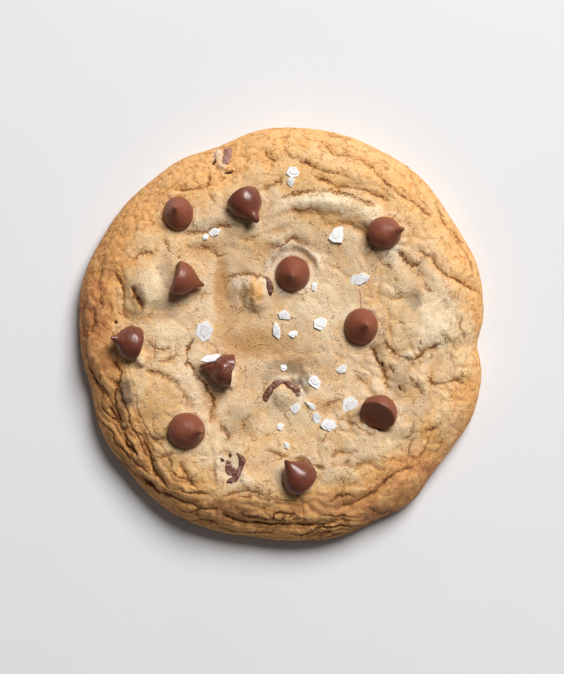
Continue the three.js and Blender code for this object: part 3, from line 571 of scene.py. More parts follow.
def puff_relief(x, y, inset):
    """Rounded puffs, flatter in the middle, on the left and at the far right edge."""
    angle = np.arctan2(y, x)
    right, far_right = (0.5 + 0.5 * facing(angle, direction) for direction in (0, 45))
    warp_x, warp_y = 0.5 * noise(x / 4, y / 4, 41), 0.5 * noise(x / 4, y / 4, 42)
    puffs = 0.4 * (smooth(cells(x / 4.8 + warp_x, y / 4.8 + warp_y, 43) / 0.55) - 0.7)
    puffs *= smooth(0.35 + noise(x / 9, y / 9, 46))
    puffs += 0.65 * billow(x + 2 * warp_x, y + 2 * warp_y, 6.5, 47)
    puffs += 0.2 * billow(x + warp_x, y + warp_y, 2.9, 48)
    puffs *= (0.4 + 0.6 * smooth((np.hypot(x, y) - 18) / 14)) * (0.45 + 0.65 * right)
    return puffs * (1 - 0.6 * far_right * smooth((14 - inset) / 14))


def crust_fields(x, y, arc):
    """All the relief of the upper crust, with the signed distance to the nearest seam and its openness."""
    inset = inset_of(x, y)
    hold = smooth(inset / 5)
    rim, rim_seam, rim_open = rim_fields(x, y, arc)
    cracks, seam, seam_open = crack_fields(x, y)
    nearer = (np.abs(rim_seam) < np.abs(seam)) & (rim_open > 0.15)
    grain = 0.08 * layered_noise(x, y, 2.4, 45, 3, 0.55)
    relief = hold * (lumps(x, y) + swelling_relief(x, y)) + smooth(inset / 2.5) * cracks + rim + grain
    relief += hold * puff_relief(x, y, inset) + flap_relief(x, y) + crater_relief(x, y) - hole_field(x, y)
    return relief, np.where(nearer, rim_seam, seam), np.where(nearer, rim_open, seam_open)


def centre_sink(inset):
    return CENTRE_SINK * smooth((inset - 20) / 16)


def plain_height(x, y):
    """Height of the upper surface without its relief."""
    inset = inset_of(x, y)
    rise = 1 - np.minimum(inset / SHOULDER, 1)
    crown = (CREST_HEIGHT - WAIST_HEIGHT) * np.sqrt(np.maximum(1 - rise * rise, 0))
    return WAIST_HEIGHT + crown - centre_sink(inset)


def crust_height(x, y):
    """Height of the finished crust at one place, where chocolate or salt lies on it."""
    x, y = np.atleast_1d(float(x)), np.atleast_1d(float(y))
    relief, _, _ = crust_fields(x, y, inset_of(x, y) + 3)
    return float((plain_height(x, y) + relief)[0])


def chip_level(x, y):
    """Height of the dough that a whole chip is set on, from its broad relief alone."""
    x, y = np.atleast_1d(float(x)), np.atleast_1d(float(y))
    inset = inset_of(x, y)
    relief = lumps(x, y) + swelling_relief(x, y)
    for points, half_width, depth, lift in FOLDS:
        gap, side, _ = beside_path(np.array(points, float), x, y)
        relief -= depth * hump(gap / half_width)
        relief += (side > 0) * lift * smooth(gap / 1.5) * hump(gap / 5)
    share = smooth(inset / 2) * smooth((19 - inset) / 6)
    strength = 0.55 + 0.35 * facing(np.arctan2(y, x), 228)
    band = inset / 3.7 + 0.8 * noise(x / 13, y / 13, 3) + 0.3 * noise(x / 5, y / 5, 4)
    relief += share * strength * (np.abs(np.sin(np.pi * band)) - 0.6) * 1.5
    return float((plain_height(x, y) + smooth(inset / 5) * relief)[0])


def in_place(x, y, level):
    """A place on the cookie, in metres."""
    return (x + OVAL_OFF_CENTRE[0]) * MM, (y + OVAL_OFF_CENTRE[1]) * MM, level * MM


# ---------------------------------------------------------------- meshes
def mesh_from(name, points, triangles):
    mesh = bpy.data.meshes.new(name)
    mesh.vertices.add(len(points))
    mesh.vertices.foreach_set("co", (np.asarray(points) * MM).ravel())
    mesh.loops.add(3 * len(triangles))
    mesh.loops.foreach_set("vertex_index", np.asarray(triangles, np.int32).ravel())
    mesh.polygons.add(len(triangles))
    mesh.polygons.foreach_set("loop_start", np.arange(0, 3 * len(triangles), 3, dtype=np.int32))
    mesh.update(calc_edges=True)
    mesh.validate()
    mesh.shade_smooth()
    return mesh


def placed(name, mesh):
    obj = bpy.data.objects.new(name, mesh)
    bpy.context.scene.collection.objects.link(obj)
    return obj


def zip_rings(low_start, low_count, high_start, high_count):
    """Triangles between two rings of evenly spread points."""
    ends = np.concatenate([np.arange(1, count + 1) / count for count in (low_count, high_count)])
    is_high = np.repeat([0, 1], [low_count, high_count])
    order = np.lexsort((is_high, np.round(ends, 9)))
    is_high = is_high[order]
    high = np.cumsum(is_high) - is_high
    low = np.arange(len(order)) - high
    a = low_start + low % low_count
    b = high_start + high % high_count
    third = np.where(is_high == 1, high_start + (high + 1) % high_count, low_start + (low + 1) % low_count)
    return np.stack([a, third, b], 1)


def fan(pole, start, count, up):
    """Triangles between a pole and a ring, facing up or down."""
    k = np.arange(count)
    a, b = start + k, start + (k + 1) % count
    return np.stack([np.full(count, pole), a, b] if up else [np.full(count, pole), b, a], 1)


def dough_rings():
    """Rings of points from the middle of the underside to the middle of the top. Each holds its angles, its
    distances from the middle, its base height, the outward and upward parts of its normal, and its arc from
    the widest line. The base height is None where it is the plain height."""
    rings = []

    def ring(inset, share, z, outward, upward, arc, cell):
        around = 2 * math.pi * HALF_WIDTH * share
        count = max(12, round(around / cell))
        angle = 2 * math.pi * np.arange(count) / count
        radius = edge_radius(angle)
        reach = np.where(share < 1 - SHOULDER / HALF_WIDTH, radius * share, radius - inset)
        rings.append((angle, reach, z, outward, upward, arc))

    def bend(depth, height, turn, arc):
        inset = depth * (1 - math.cos(turn))
        normal = np.array([height * math.cos(turn), depth * math.sin(turn)])
        normal /= np.hypot(*normal)
        ring(inset, 1 - inset / HALF_WIDTH, WAIST_HEIGHT + height * math.sin(turn), *normal, arc, TOP_CELL)

    foot = HALF_WIDTH - FOOT_INSET
    for k in range(1, round(foot / UNDER_CELL)):
        share = k * UNDER_CELL / HALF_WIDTH
        cell = UNDER_CELL if k * UNDER_CELL < foot - 3 else TOP_CELL * 1.8
        ring(HALF_WIDTH * (1 - share), share, 0, 0, -1, UNDERSIDE, cell)
    wall = math.pi / 2 * math.sqrt((FOOT_INSET**2 + WAIST_HEIGHT**2) / 2)
    steps = round(wall / TOP_CELL)
    for k in range(steps):
        bend(FOOT_INSET, WAIST_HEIGHT, math.pi / 2 * (k / steps - 1), wall * (k / steps - 1))
    height = CREST_HEIGHT - WAIST_HEIGHT
    turn, arc = 0.0, 0.0
    while turn < math.pi / 2:
        bend(SHOULDER, height, turn, arc)
        turn += TOP_CELL / math.hypot(SHOULDER * math.sin(turn), height * math.cos(turn))
        arc += TOP_CELL
    inner = HALF_WIDTH - SHOULDER
    steps = round(inner / TOP_CELL)
    for k in range(1, steps):
        share = inner / HALF_WIDTH * (1 - k / steps)
        ring(HALF_WIDTH * (1 - share), share, None, 0, 1, arc + inner * k / steps, TOP_CELL)
    return rings


def with_poles(values, bottom=0.0, top=0.0):
    return np.concatenate([[bottom], values, [top]])


def dough_points():
    """The dough's points, as places, arcs, normals and angles, and its triangles."""
    rings = dough_rings()
    counts = np.array([len(ring[0]) for ring in rings])
    starts = 1 + np.concatenate([[0], np.cumsum(counts)[:-1]])
    angle, reach = (np.concatenate([ring[k] for ring in rings]) for k in (0, 1))
    outward, upward, arc = (np.repeat([ring[k] for ring in rings], counts) for k in (3, 4, 5))
    base = np.repeat([np.nan if ring[2] is None else ring[2] for ring in rings], counts)
    x, y = reach * np.cos(angle), reach * np.sin(angle)
    z = np.where(np.isnan(base), plain_height(x, y), base - centre_sink(inset_of(x, y)) * (arc > 0))
    triangles = [fan(0, starts[0], counts[0], False)]
    for k in range(1, len(rings)):
        triangles.append(zip_rings(starts[k - 1], counts[k - 1], starts[k], counts[k]))
    triangles.append(fan(len(x) + 1, starts[-1], counts[-1], True))
    crown = plain_height(np.zeros(1), np.zeros(1))[0]
    x, y, angle, outward = (with_poles(values) for values in (x, y, angle, outward))
    z, arc = with_poles(z, 0.0, crown), with_poles(arc, UNDERSIDE, arc[-1] + 1)
    return x, y, z, arc, outward, with_poles(upward, -1.0, 1.0), angle, np.vstack(triangles)


def settled(values, triangles, rounds):
    """The values, each averaged with its neighbours a number of times."""
    edges = np.vstack([triangles[:, [0, 1]], triangles[:, [1, 2]], triangles[:, [2, 0]]])
    weight = np.bincount(edges.ravel(), minlength=len(values))
    out = values.copy()
    for _ in range(rounds):
        total = np.bincount(edges[:, 0], out[edges[:, 1]], len(values))
        total += np.bincount(edges[:, 1], out[edges[:, 0]], len(values))
        out = 0.5 * out + 0.5 * total / weight
    return out


def chip_places():
    """Where each chip meets the dough: middle, way it leans, half length along that, pale ring."""
    for name, (x, y, _, lean, toward, *_) in CHIPS.items():
        slope, way = math.radians(lean), math.radians(toward)
        reach = CHIP_RADIUS * max(abs(math.cos(slope)), 0.72)
        forward = 1.6 * math.sin(slope) ** 2
        middle = x + forward * math.cos(way), y + forward * math.sin(way)
        yield *middle, way, reach + 0.3, PALE_RINGS.get(name, 0.25)


def collars(x, y):
    """The lip of dough that hugs each chip, the pale ring round it, and the line of painted contact shade
    where they meet.
    """
    lip, ring, line = np.zeros_like(x), np.zeros_like(x), np.zeros_like(x)
    uneven = 0.6 + 0.6 * noise(x / 2.4, y / 2.4, 51)
    for cx, cy, way, half_long, paleness in chip_places():
        u, v = along_and_across(x, y, cx, cy, way)
        out = (np.hypot(u / half_long, v / CHIP_RADIUS) - 1) * CHIP_RADIUS
        lip += 0.22 * uneven * hump((out - 0.35) / 0.45)
        ring = np.maximum(ring, paleness * uneven * hump((out - 0.4) / 0.8))
        # painted contact shade in the crevice at the foot of each chip
        line = np.maximum(line, np.clip(0.8 * uneven, 0, 1) * hump((out - 0.1) / 0.28))
    return lip, ring, line


def patches(x, y, spots, ragged):
    """How strongly each point lies in one of the spots, whose edges are ragged."""
    total = np.zeros_like(x)
    shake = ragged * layered_noise(x, y, 1.7, 61, 2)
    for cx, cy, half_x, half_y, strength in spots:
        far = np.hypot((x - cx) / half_x, (y - cy) / half_y) + shake
        total = np.maximum(total, strength * smooth((1.5 - far) / 0.9))
    return total


def bake_and_shade_field(x, y, arc, raised):
    """How dark the crust is painted: 0 pale, 1 deep brown. It is browning, with painted shade added towards
    the lower left, which faces away from the lamp.
    """
    angle = np.arctan2(y, x)
    # the rim towards the lower left faces away from the lamp and is painted darker: painted shade as well as
    # browning
    near_left = 0.5 + 0.5 * facing(angle, 225)
    reach = RIM_WIDTH + 4 * near_left + bulges(angle, BAKE_REACH)
    drift = 3.0 * noise(x / 9, y / 9, 71) + 1.3 * noise(x / 3.5, y / 3.5, 72)
    rim = smooth((reach - arc + drift) / 12)
    wall = smooth((6 - arc) / 9)
    mottled = 0.05 * layered_noise(x, y, 2.2, 73, 3)
    browned = 0.12 + (0.34 + 0.15 * near_left) * rim + (0.13 + 0.06 * near_left) * wall
    browned += patches(x, y, BROWNED_AND_SHADED, 0.3)
    # tops of the puffs are painted paler: partly paler crust, partly painted light
    return np.clip(browned + mottled - 0.14 * raised, 0, 1)


def bake_dough(material):
    """The whole piece of dough, with the fields that its finish reads kept on its points."""
    x, y, z, arc, outward, upward, angle, triangles = dough_points()
    top = arc > UNDERSIDE + 1
    relief, seam, seam_open = np.zeros_like(x), np.full_like(x, SEAM_REACH), np.zeros_like(x)
    relief[top], seam[top], seam_open[top] = crust_fields(x[top], y[top], arc[top])
    lip, ring, line = collars(x, y)
    relief += np.where(arc > 8, lip, 0)
    pits = smooth((layered_noise(x, y, 3.2, 81, 3) - 0.25) / 0.5)
    pitted = -0.35 * pits * smooth((52 - np.hypot(x, y)) / 4)
    relief = np.where(top, relief * smooth((arc + 4.5) / 3), pitted)
    px = x + relief * outward * np.cos(angle) + OVAL_OFF_CENTRE[0]
    py = y + relief * outward * np.sin(angle) + OVAL_OFF_CENTRE[1]
    pz = np.maximum(z + relief * upward, 0)
    mesh = mesh_from("baked_dough", np.stack([px, py, pz], 1), triangles)
    local = relief - settled(relief, triangles, 12)
    flat = relief - 0.7 * np.where(top, flap_relief(x, y), 0)
    broad = flat - settled(flat, triangles, 96)
    rim = smooth((23 - arc) / 8)
    on_top = {
        "bake_and_shade": bake_and_shade_field(x, y, arc, np.clip(0.5 * local / 0.3 + 0.5 * broad / 0.7, -1, 1)),
        "seam": np.clip(seam, -SEAM_REACH, SEAM_REACH),
        "seam_gap": np.clip(np.abs(seam), 0, SEAM_REACH),
        "seam_open": seam_open,
        # painted shade: darker in hollows, creases and along the foot of each chip, with some browning of the
        # crust in the valleys
        "hollow_browning_and_shade": np.clip(-0.6 * local / 0.4 - 0.6 * broad / 0.8 + line, 0, 1.4),
        # how high the ground stands over its surroundings; the finish paints these tops paler, partly as
        # painted light
        "raised": np.clip(broad / 0.7, 0, 1),
        "rim": rim,
        "crazed": rim * (0.8 - 0.2 * facing(angle, 250)),
        "hole": hole_field(x, y),
    }
    on_top.update({name: patches(x, y, spots, ragged) for name, (spots, ragged) in TINTS.items()})
    on_top["pale"] = np.maximum(on_top["pale"], ring)
    underneath = {
        "bake_and_shade": 0.62 + 0.1 * layered_noise(x, y, 7, 83, 3),
        "seam": SEAM_REACH,
        "seam_gap": SEAM_REACH,
        # painted shade in the pits of the underside
        "hollow_browning_and_shade": 0.6 * pits,
    }
    for name, values in on_top.items():
        attribute = mesh.attributes.new(name, "FLOAT", "POINT")
        values = np.where(top, values, underneath.get(name, 0))
        attribute.data.foreach_set("value", values.astype(np.float32))
    unrolled = np.stack([RIM_STRETCH * np.cos(angle), RIM_STRETCH * np.sin(angle), arc], 1)
    attribute = mesh.attributes.new("unrolled_rim", "FLOAT_VECTOR", "POINT")
    attribute.data.foreach_set("vector", unrolled.astype(np.float32).ravel())
    mesh.materials.append(material)
    return placed("baked_dough", mesh)


# ---------------------------------------------------------------- node trees
class Tree:
    """A short way to write a node tree: each call adds one node and links its inputs."""

    def __init__(self, tree):
        self.tree = tree

    def feed(self, socket, value):
        if isinstance(value, bpy.types.NodeSocket):
            self.tree.links.new(value, socket)
        else:
            socket.default_value = value

    def add(self, kind, inputs=(), output=0, **settings):
        node = self.tree.nodes.new(kind)
        for key, value in settings.items():
            setattr(node, key, value)
        for key, value in dict(inputs).items():
            self.feed(node.inputs[key], value)
        return node if output is None else node.outputs[output]

    def sums(self, operation, a, b=0.0, c=0.0):
        return self.add("ShaderNodeMath", {0: a, 1: b, 2: c}, operation=operation)

    def plus(self, a, b):
        return self.sums("ADD", a, b)

    def times(self, a, b):
        return self.sums("MULTIPLY", a, b)

    def vector(self, operation, a, b=(0, 0, 0)):
        return self.add("ShaderNodeVectorMath", {0: a, 1: b}, operation=operation)

    def scaled(self, a, amount):
        return self.add("ShaderNodeVectorMath", {0: a, 3: amount}, operation="SCALE")


class Paint(Tree):
    """A surface's node tree, with its patterns measured in millimetres on the piece."""

    def __init__(self, name):
        self.material = bpy.data.materials.new(name)
        self.material.use_nodes = True
        super().__init__(self.material.node_tree)
        self.shader = self.tree.nodes["Principled BSDF"]
        place = self.add("ShaderNodeTexCoord", output=3)
        self.place = self.scaled(place, 1 / MM)

    def set(self, **values):
        for name, value in values.items():
            self.feed(self.shader.inputs[name.replace("_", " ")], value)

    def field(self, name):
        return self.add("ShaderNodeAttribute", output=2, attribute_name=name)

    def mottle(self, size, detail=3.0, rough=0.55, warp=0.0):
        inputs = {"Vector": self.place, "Scale": 1 / size, "Detail": detail}
        return self.add("ShaderNodeTexNoise", {**inputs, "Roughness": rough, "Distortion": warp})

    def dots(self, size):
        return self.add("ShaderNodeTexVoronoi", {"Vector": self.place, "Scale": 1 / size})

    def to_edge(self, where, size):
        """Distance to the nearest edge between plates of about the size."""
        inputs = {"Vector": where, "Scale": 1 / size}
        return self.add("ShaderNodeTexVoronoi", inputs, feature="DISTANCE_TO_EDGE")

    def shaken(self, where, shakes, detail):
        """The place moved about by noises, each with a scale and an amount."""
        for scale, amount in shakes:
            inputs = {"Vector": self.place, "Scale": scale, "Detail": detail}
            noise_colour = self.add("ShaderNodeTexNoise", inputs, output=1)
            where = self.vector("ADD", where, self.scaled(noise_colour, amount))
        return where

    def between(self, value, low, high, out_low=0.0, out_high=1.0):
        return self.add(
            "ShaderNodeMapRange",
            {"Value": value, "From Min": low, "From Max": high, "To Min": out_low, "To Max": out_high},
            interpolation_type="SMOOTHSTEP",
        )

    def ramp(self, value, stops):
        node = self.add("ShaderNodeValToRGB", {"Fac": value}, output=None)
        elements = node.color_ramp.elements
        while len(elements) < len(stops):
            elements.new(0.5)
        for element, (position, colour) in zip(elements, stops):
            element.position, element.color = position, (*colour, 1)
        return node.outputs[0]

    def mix(self, share, under, over, blend="MIX"):
        under, over = ((*tint, 1) if isinstance(tint, tuple) else tint for tint in (under, over))
        inputs = {0: share, 6: under, 7: over}
        return self.add("ShaderNodeMix", inputs, output=2, data_type="RGBA", blend_type=blend)

    def bump(self, height, depth, under=None):
        inputs = {"Height": height, "Distance": depth * MM, "Strength": 1.0}
        if under is not None:
            inputs["Normal"] = under
        return self.add("ShaderNodeBump", inputs)


# ---------------------------------------------------------------- finishes
SAND = (0.77, 0.562, 0.366)
STRAW = (0.82, 0.545, 0.278)
GOLD = (0.86, 0.46, 0.18)
TOAST = (0.65, 0.285, 0.12)
DARK_TOAST = (0.44, 0.195, 0.1)
VALLEY_SHADE_ORANGE = (0.70, 0.335, 0.11)
CREAM = (0.91, 0.77, 0.54)
TAN = (0.80, 0.475, 0.195)
CARAMEL_BROWN = (0.63, 0.355, 0.145)
CHOCOLATE_SHADOW = (0.2, 0.155, 0.11)
SUGAR = (0.86, 0.77, 0.64)
CRACK_BROWN = (0.2, 0.072, 0.022)
CRACK_ORANGE = (0.55, 0.24, 0.065)
SPECK_BROWN = (0.10, 0.04, 0.016)
HOLLOW_SHADE_BROWN = (0.46, 0.215, 0.08)
CRINKLE_BROWN = (0.38, 0.145, 0.042)
HOLE_SHADE = (0.05, 0.016, 0.01)
PALE_CRUMB = (0.62, 0.46, 0.36)


def crackle(p):
    """Thin cracks that run along the rim: 1 in a crack."""
    unrolled = p.add("ShaderNodeAttribute", output=1, attribute_name="unrolled_rim")
    where = p.shaken(unrolled, ((0.45, 3.0), (1.3, 0.9)), 1.0)
    lines = 0.0
    for size, thick, strength in ((3.3, 0.07, 1.0), (1.7, 0.08, 0.35)):
        line = p.times(p.between(p.to_edge(where, size), thick, 0.015), strength)
        lines = p.sums("MAXIMUM", line, lines)
    lines = p.times(lines, p.between(p.mottle(2.6, 2), 0.36, 0.58, 0.1, 1.0))
    return p.times(lines, p.field("crazed"))


def seam_lines(p):
    """A ragged dark line in each crack, and the stained margin beside it."""
    coarse = p.between(p.mottle(1.1, 2), 0.2, 0.8, -0.6, 0.6)
    ragged = p.plus(coarse, p.between(p.mottle(0.4, 1), 0.2, 0.8, -0.2, 0.2))
    ragged = p.times(ragged, p.between(p.field("rim"), 0.0, 1.0, 1.0, 0.5))
    off = p.sums("ABSOLUTE", p.plus(p.field("seam"), ragged))
    beside = p.times(p.between(p.field("seam_gap"), 1.5, 0.7), p.field("seam_open"))
    width = p.between(p.mottle(1.3, 1), 0.3, 0.7, 0.1, 0.46)
    thin = p.times(p.between(p.sums("DIVIDE", off, width), 1.25, 0.5), beside)
    margin = p.times(p.between(off, 1.3, 0.15), beside)
    margin = p.times(margin, p.between(p.field("rim"), 0.0, 1.0, 1.0, 0.55))
    return thin, p.times(margin, p.between(p.mottle(0.8, 3), 0.35, 0.6))


def hairlines(p):
    """Broken hairline cracks of the pale plateau."""
    plates = p.to_edge(p.shaken(p.place, ((0.5, 3.4),), 3.0), 6.5)
    line = p.times(p.between(plates, 0.035, 0.008), p.between(p.mottle(4.2, 2), 0.5, 0.6))
    return p.times(line, p.between(p.mottle(0.7, 1), 0.4, 0.5))


def sugar_specks(p, rim):
    """Specks of caramelised sugar, thickest beside the cracks."""
    sprinkled = p.between(p.mottle(3.4, 2), 0.45, 0.6, 0.0, 0.85)
    by_cracks = p.times(p.between(p.field("seam_gap"), 2.2, 0.6), p.field("seam_open"))
    thick = p.sums("MAXIMUM", p.sums("MAXIMUM", sprinkled, by_cracks), p.field("freckles"))
    speck = p.times(p.between(p.dots(0.8), 0.29, 0.17), thick)
    speck = p.times(speck, p.between(p.mottle(1.1, 1), 0.44, 0.54))
    return p.times(speck, p.between(rim, 0, 1, 1, 0.35))


def dough_finish():
    p = Paint("baked_dough")
    bake_and_shade = p.plus(p.field("bake_and_shade"), p.between(p.mottle(1.3, 4), 0.3, 0.7, -0.06, 0.06))
    # the dark end of this ramp also carries the painted shade of the lower left rim
    colour = p.ramp(bake_and_shade, ((0.05, SAND), (0.32, STRAW), (0.58, GOLD), (0.84, TOAST), (1.0, DARK_TOAST)))
    patchy = p.between(p.mottle(2.1, 3), 0.3, 0.65, 0.55, 1.0)
    rim, hollow_browning_and_shade, raised = p.field("rim"), p.field("hollow_browning_and_shade"), p.field("raised")
    inner = p.sums("SUBTRACT", 1.0, p.times(rim, 0.85))
    # colours of the painted shade in hollows: orange on the paler crust, brown on the darker
    stops = ((0.22, HOLLOW_SHADE_BROWN), (0.36, VALLEY_SHADE_ORANGE), (0.52, VALLEY_SHADE_ORANGE), (0.68, HOLLOW_SHADE_BROWN))
    crinkle = crackle(p)
    thin, margin = seam_lines(p)
    hairline = hairlines(p)
    for share, over in (
        (p.times(inner, p.between(p.mottle(5.5, 3), 0.52, 0.7, 0.0, 0.35)), CREAM),
        (p.between(p.mottle(4.6, 3, 0.5, 0.6), 0.5, 0.68, 0.0, 0.45), TAN),
        # tops of the puffs painted paler: partly paler crust, partly painted light
        (p.times(p.times(raised, inner), 0.55), CREAM),
        (p.times(p.times(raised, rim), 0.25), STRAW),
        (p.times(p.times(p.field("gold"), patchy), p.between(rim, 0, 1, 1, 0.6)), TAN),
        (p.times(p.field("cream"), patchy), CREAM),
        (p.times(p.field("caramel"), 0.85), CARAMEL_BROWN),
        # chocolate showing through the dough, and painted shade
        (p.times(p.field("buried_chocolate_and_shade"), 0.8), CHOCOLATE_SHADOW),
        (p.times(p.field("pale"), 0.6), SUGAR),
        # painted shade and browning in the hollows
        (p.times(hollow_browning_and_shade, p.between(rim, 0, 1, 0.6, 0.5)), p.ramp(bake_and_shade, stops)),
        (p.times(margin, 0.6), CRACK_ORANGE),
        (p.times(crinkle, p.between(bake_and_shade, 0.3, 0.62, 0.45, 0.7)), CRINKLE_BROWN),
        (p.times(hairline, 0.5), CRINKLE_BROWN),
        (p.times(thin, 0.8), CRACK_BROWN),
        (p.times(sugar_specks(p, rim), 0.8), SPECK_BROWN),
        # painted shade inside the holes
        (p.times(p.between(p.field("hole"), 0.15, 0.7), 0.9), HOLE_SHADE),
    ):
        colour = p.mix(share, colour, over)
    colour = p.mix(1.0, colour, p.between(p.mottle(0.42, 1), 0.3, 0.7, 0.87, 1.08), "MULTIPLY")
    relief = p.times(p.between(p.dots(0.5), 0.05, 0.6), 0.3)
    for amount, part in (
        (0.55, p.mottle(0.7, 4)),
        (0.3, p.between(p.dots(1.15), 0.08, 0.26)),
        (-0.45, crinkle),
        (-2.0, thin),
        (-0.8, hairline),
    ):
        relief = p.sums("MULTIPLY_ADD", part, amount, relief)
    p.set(
        Base_Color=colour,
        Roughness=p.between(p.field("caramel"), 0.0, 1.0, 0.72, 0.5),
        Normal=p.bump(p.times(relief, p.between(rim, 0, 1, 1.1, 0.75)), 0.16),
        Specular_IOR_Level=0.35,
        Subsurface_Weight=0.12,
        Subsurface_Radius=(0.002, 0.001, 0.0004),
        Subsurface_Scale=1.0,
    )
    return p.material


def chocolate_finish(name, base, rough, rough_spread, coat, sugared):
    p = Paint(name)
    cloudy = p.mottle(2.6, 3, 0.5, 0.4)
    colour = p.mix(cloudy, tuple(0.86 * c for c in base), tuple(1.12 * c for c in base))
    grains = p.between(p.mottle(0.5, 3, 0.7), 0.48, 0.6)
    crumbs = p.times(grains, p.between(p.mottle(1.2, 2), 0.42, 0.6))
    scuffs = p.between(p.mottle(0.5, 3), 0.45, 0.75)
    worn = p.plus(cloudy, p.times(scuffs, 0.3))
    p.set(
        Base_Color=p.mix(p.times(crumbs, sugared), colour, PALE_CRUMB),
        Roughness=p.between(worn, 0.3, 0.9, rough, rough + rough_spread),
        Normal=p.bump(p.plus(p.mottle(1.6, 2), p.times(scuffs, 0.12)), 0.06),
        Specular_IOR_Level=0.45,
        Coat_Weight=coat,
        Coat_Roughness=0.28,
    )
    return p.material


def salt_finish():
    p = Paint("flaky_salt")
    cloud = p.between(p.mottle(0.9, 3), 0.3, 0.7)
    colour = p.mix(cloud, (0.9, 0.865, 0.85), (0.99, 0.985, 0.98))
    p.set(
        Base_Color=colour,
        Roughness=0.25,
        Normal=p.bump(p.mottle(0.6, 3), 0.1),
        IOR=1.54,
        Subsurface_Weight=0.2,
        Subsurface_Radius=(0.001, 0.001, 0.001),
        Subsurface_Scale=1.0,
    )
    return p.material


# ---------------------------------------------------------------- pieces made by geometry nodes
class Maker(Tree):
    """A geometry node tree with named inputs. It is run on one object and gives a plain mesh."""

    def __init__(self, name, sizes):
        super().__init__(bpy.data.node_groups.new(name, "GeometryNodeTree"))
        self.tree.interface.new_socket("Shape", in_out="INPUT", socket_type="NodeSocketGeometry")
        for size in sizes:
            self.tree.interface.new_socket(size, in_out="INPUT", socket_type="NodeSocketFloat")
        self.tree.interface.new_socket("Shape", in_out="OUTPUT", socket_type="NodeSocketGeometry")
        self.given = self.tree.nodes.new("NodeGroupInput").outputs
        self.result = self.tree.nodes.new("NodeGroupOutput")

    def point(self, x=0.0, y=0.0, z=0.0):
        return self.add("ShaderNodeCombineXYZ", {0: x, 1: y, 2: z})

    def curve(self, value, points):
        node = self.add("ShaderNodeFloatCurve", {"Value": value}, output=None)
        line = node.mapping.curves[0]
        for place, height in points[1:-1]:
            line.points.new(place, height)
        for knot, (place, height) in zip(sorted(line.points, key=lambda q: q.location[0]), sorted(points)):
            knot.location = (place, height)
        node.mapping.update()
        return node.outputs[0]

    def dented(self, shape, amounts, noise_inputs):
        """The shape with its points pushed about by a noise, by the amounts along x, y and z."""
        colour = self.add("ShaderNodeTexNoise", noise_inputs, output=1)
        push = self.vector("SUBTRACT", colour, (0.5, 0.5, 0.5))
        push = self.vector("MULTIPLY", push, self.point(*amounts))
        return self.add("GeometryNodeSetPosition", {"Geometry": shape, "Offset": push})

    def finish(self, shape, material):
        shape = self.add("GeometryNodeRealizeInstances", {0: shape})
        shape = self.add("GeometryNodeSetMaterial", {"Geometry": shape, "Material": material})
        self.tree.links.new(shape, self.result.inputs[0])

    def run(self, name, mesh, sizes):
        """Runs the tree on a copy of the object's data and returns the finished piece."""
        seed = placed(name + "_seed", mesh)
        modifier = seed.modifiers.new("maker", "NODES")
        modifier.node_group = self.tree
        for item in self.tree.interface.items_tree:
            if item.in_out == "INPUT" and item.name in sizes:
                modifier[item.identifier] = float(sizes[item.name])
        depsgraph = bpy.context.evaluated_depsgraph_get()
        made = bpy.data.meshes.new_from_object(seed.evaluated_get(depsgraph), depsgraph=depsgraph)
        bpy.data.objects.remove(seed)
        made.name = name
        return made


def outward(mesh):
    """Turns the faces outwards if the closed mesh came inside out."""
    mesh.calc_loop_triangles()
    corners = np.zeros(3 * len(mesh.loop_triangles), np.int32)
    mesh.loop_triangles.foreach_get("vertices", corners)
    points = np.zeros(3 * len(mesh.vertices))
    mesh.vertices.foreach_get("co", points)
    a, b, c = np.moveaxis(points.reshape(-1, 3)[corners.reshape(-1, 3)], 1, 0)
    if np.einsum("ij,ij->i", a, np.cross(b, c)).sum() < 0:
        mesh.flip_normals()
    return mesh


# Side view of a chip from the middle of its base to its tip: across, up.
CHIP_PROFILE = (
    (0, 0.045), (0.5, 0.04), (0.82, 0.02), (0.94, 0.0), (1.0, 0.06), (0.985, 0.22), (0.91, 0.36),
    (0.76, 0.5), (0.56, 0.62), (0.37, 0.73), (0.22, 0.83), (0.125, 0.93), (0.075, 0.985), (0, 1),
)


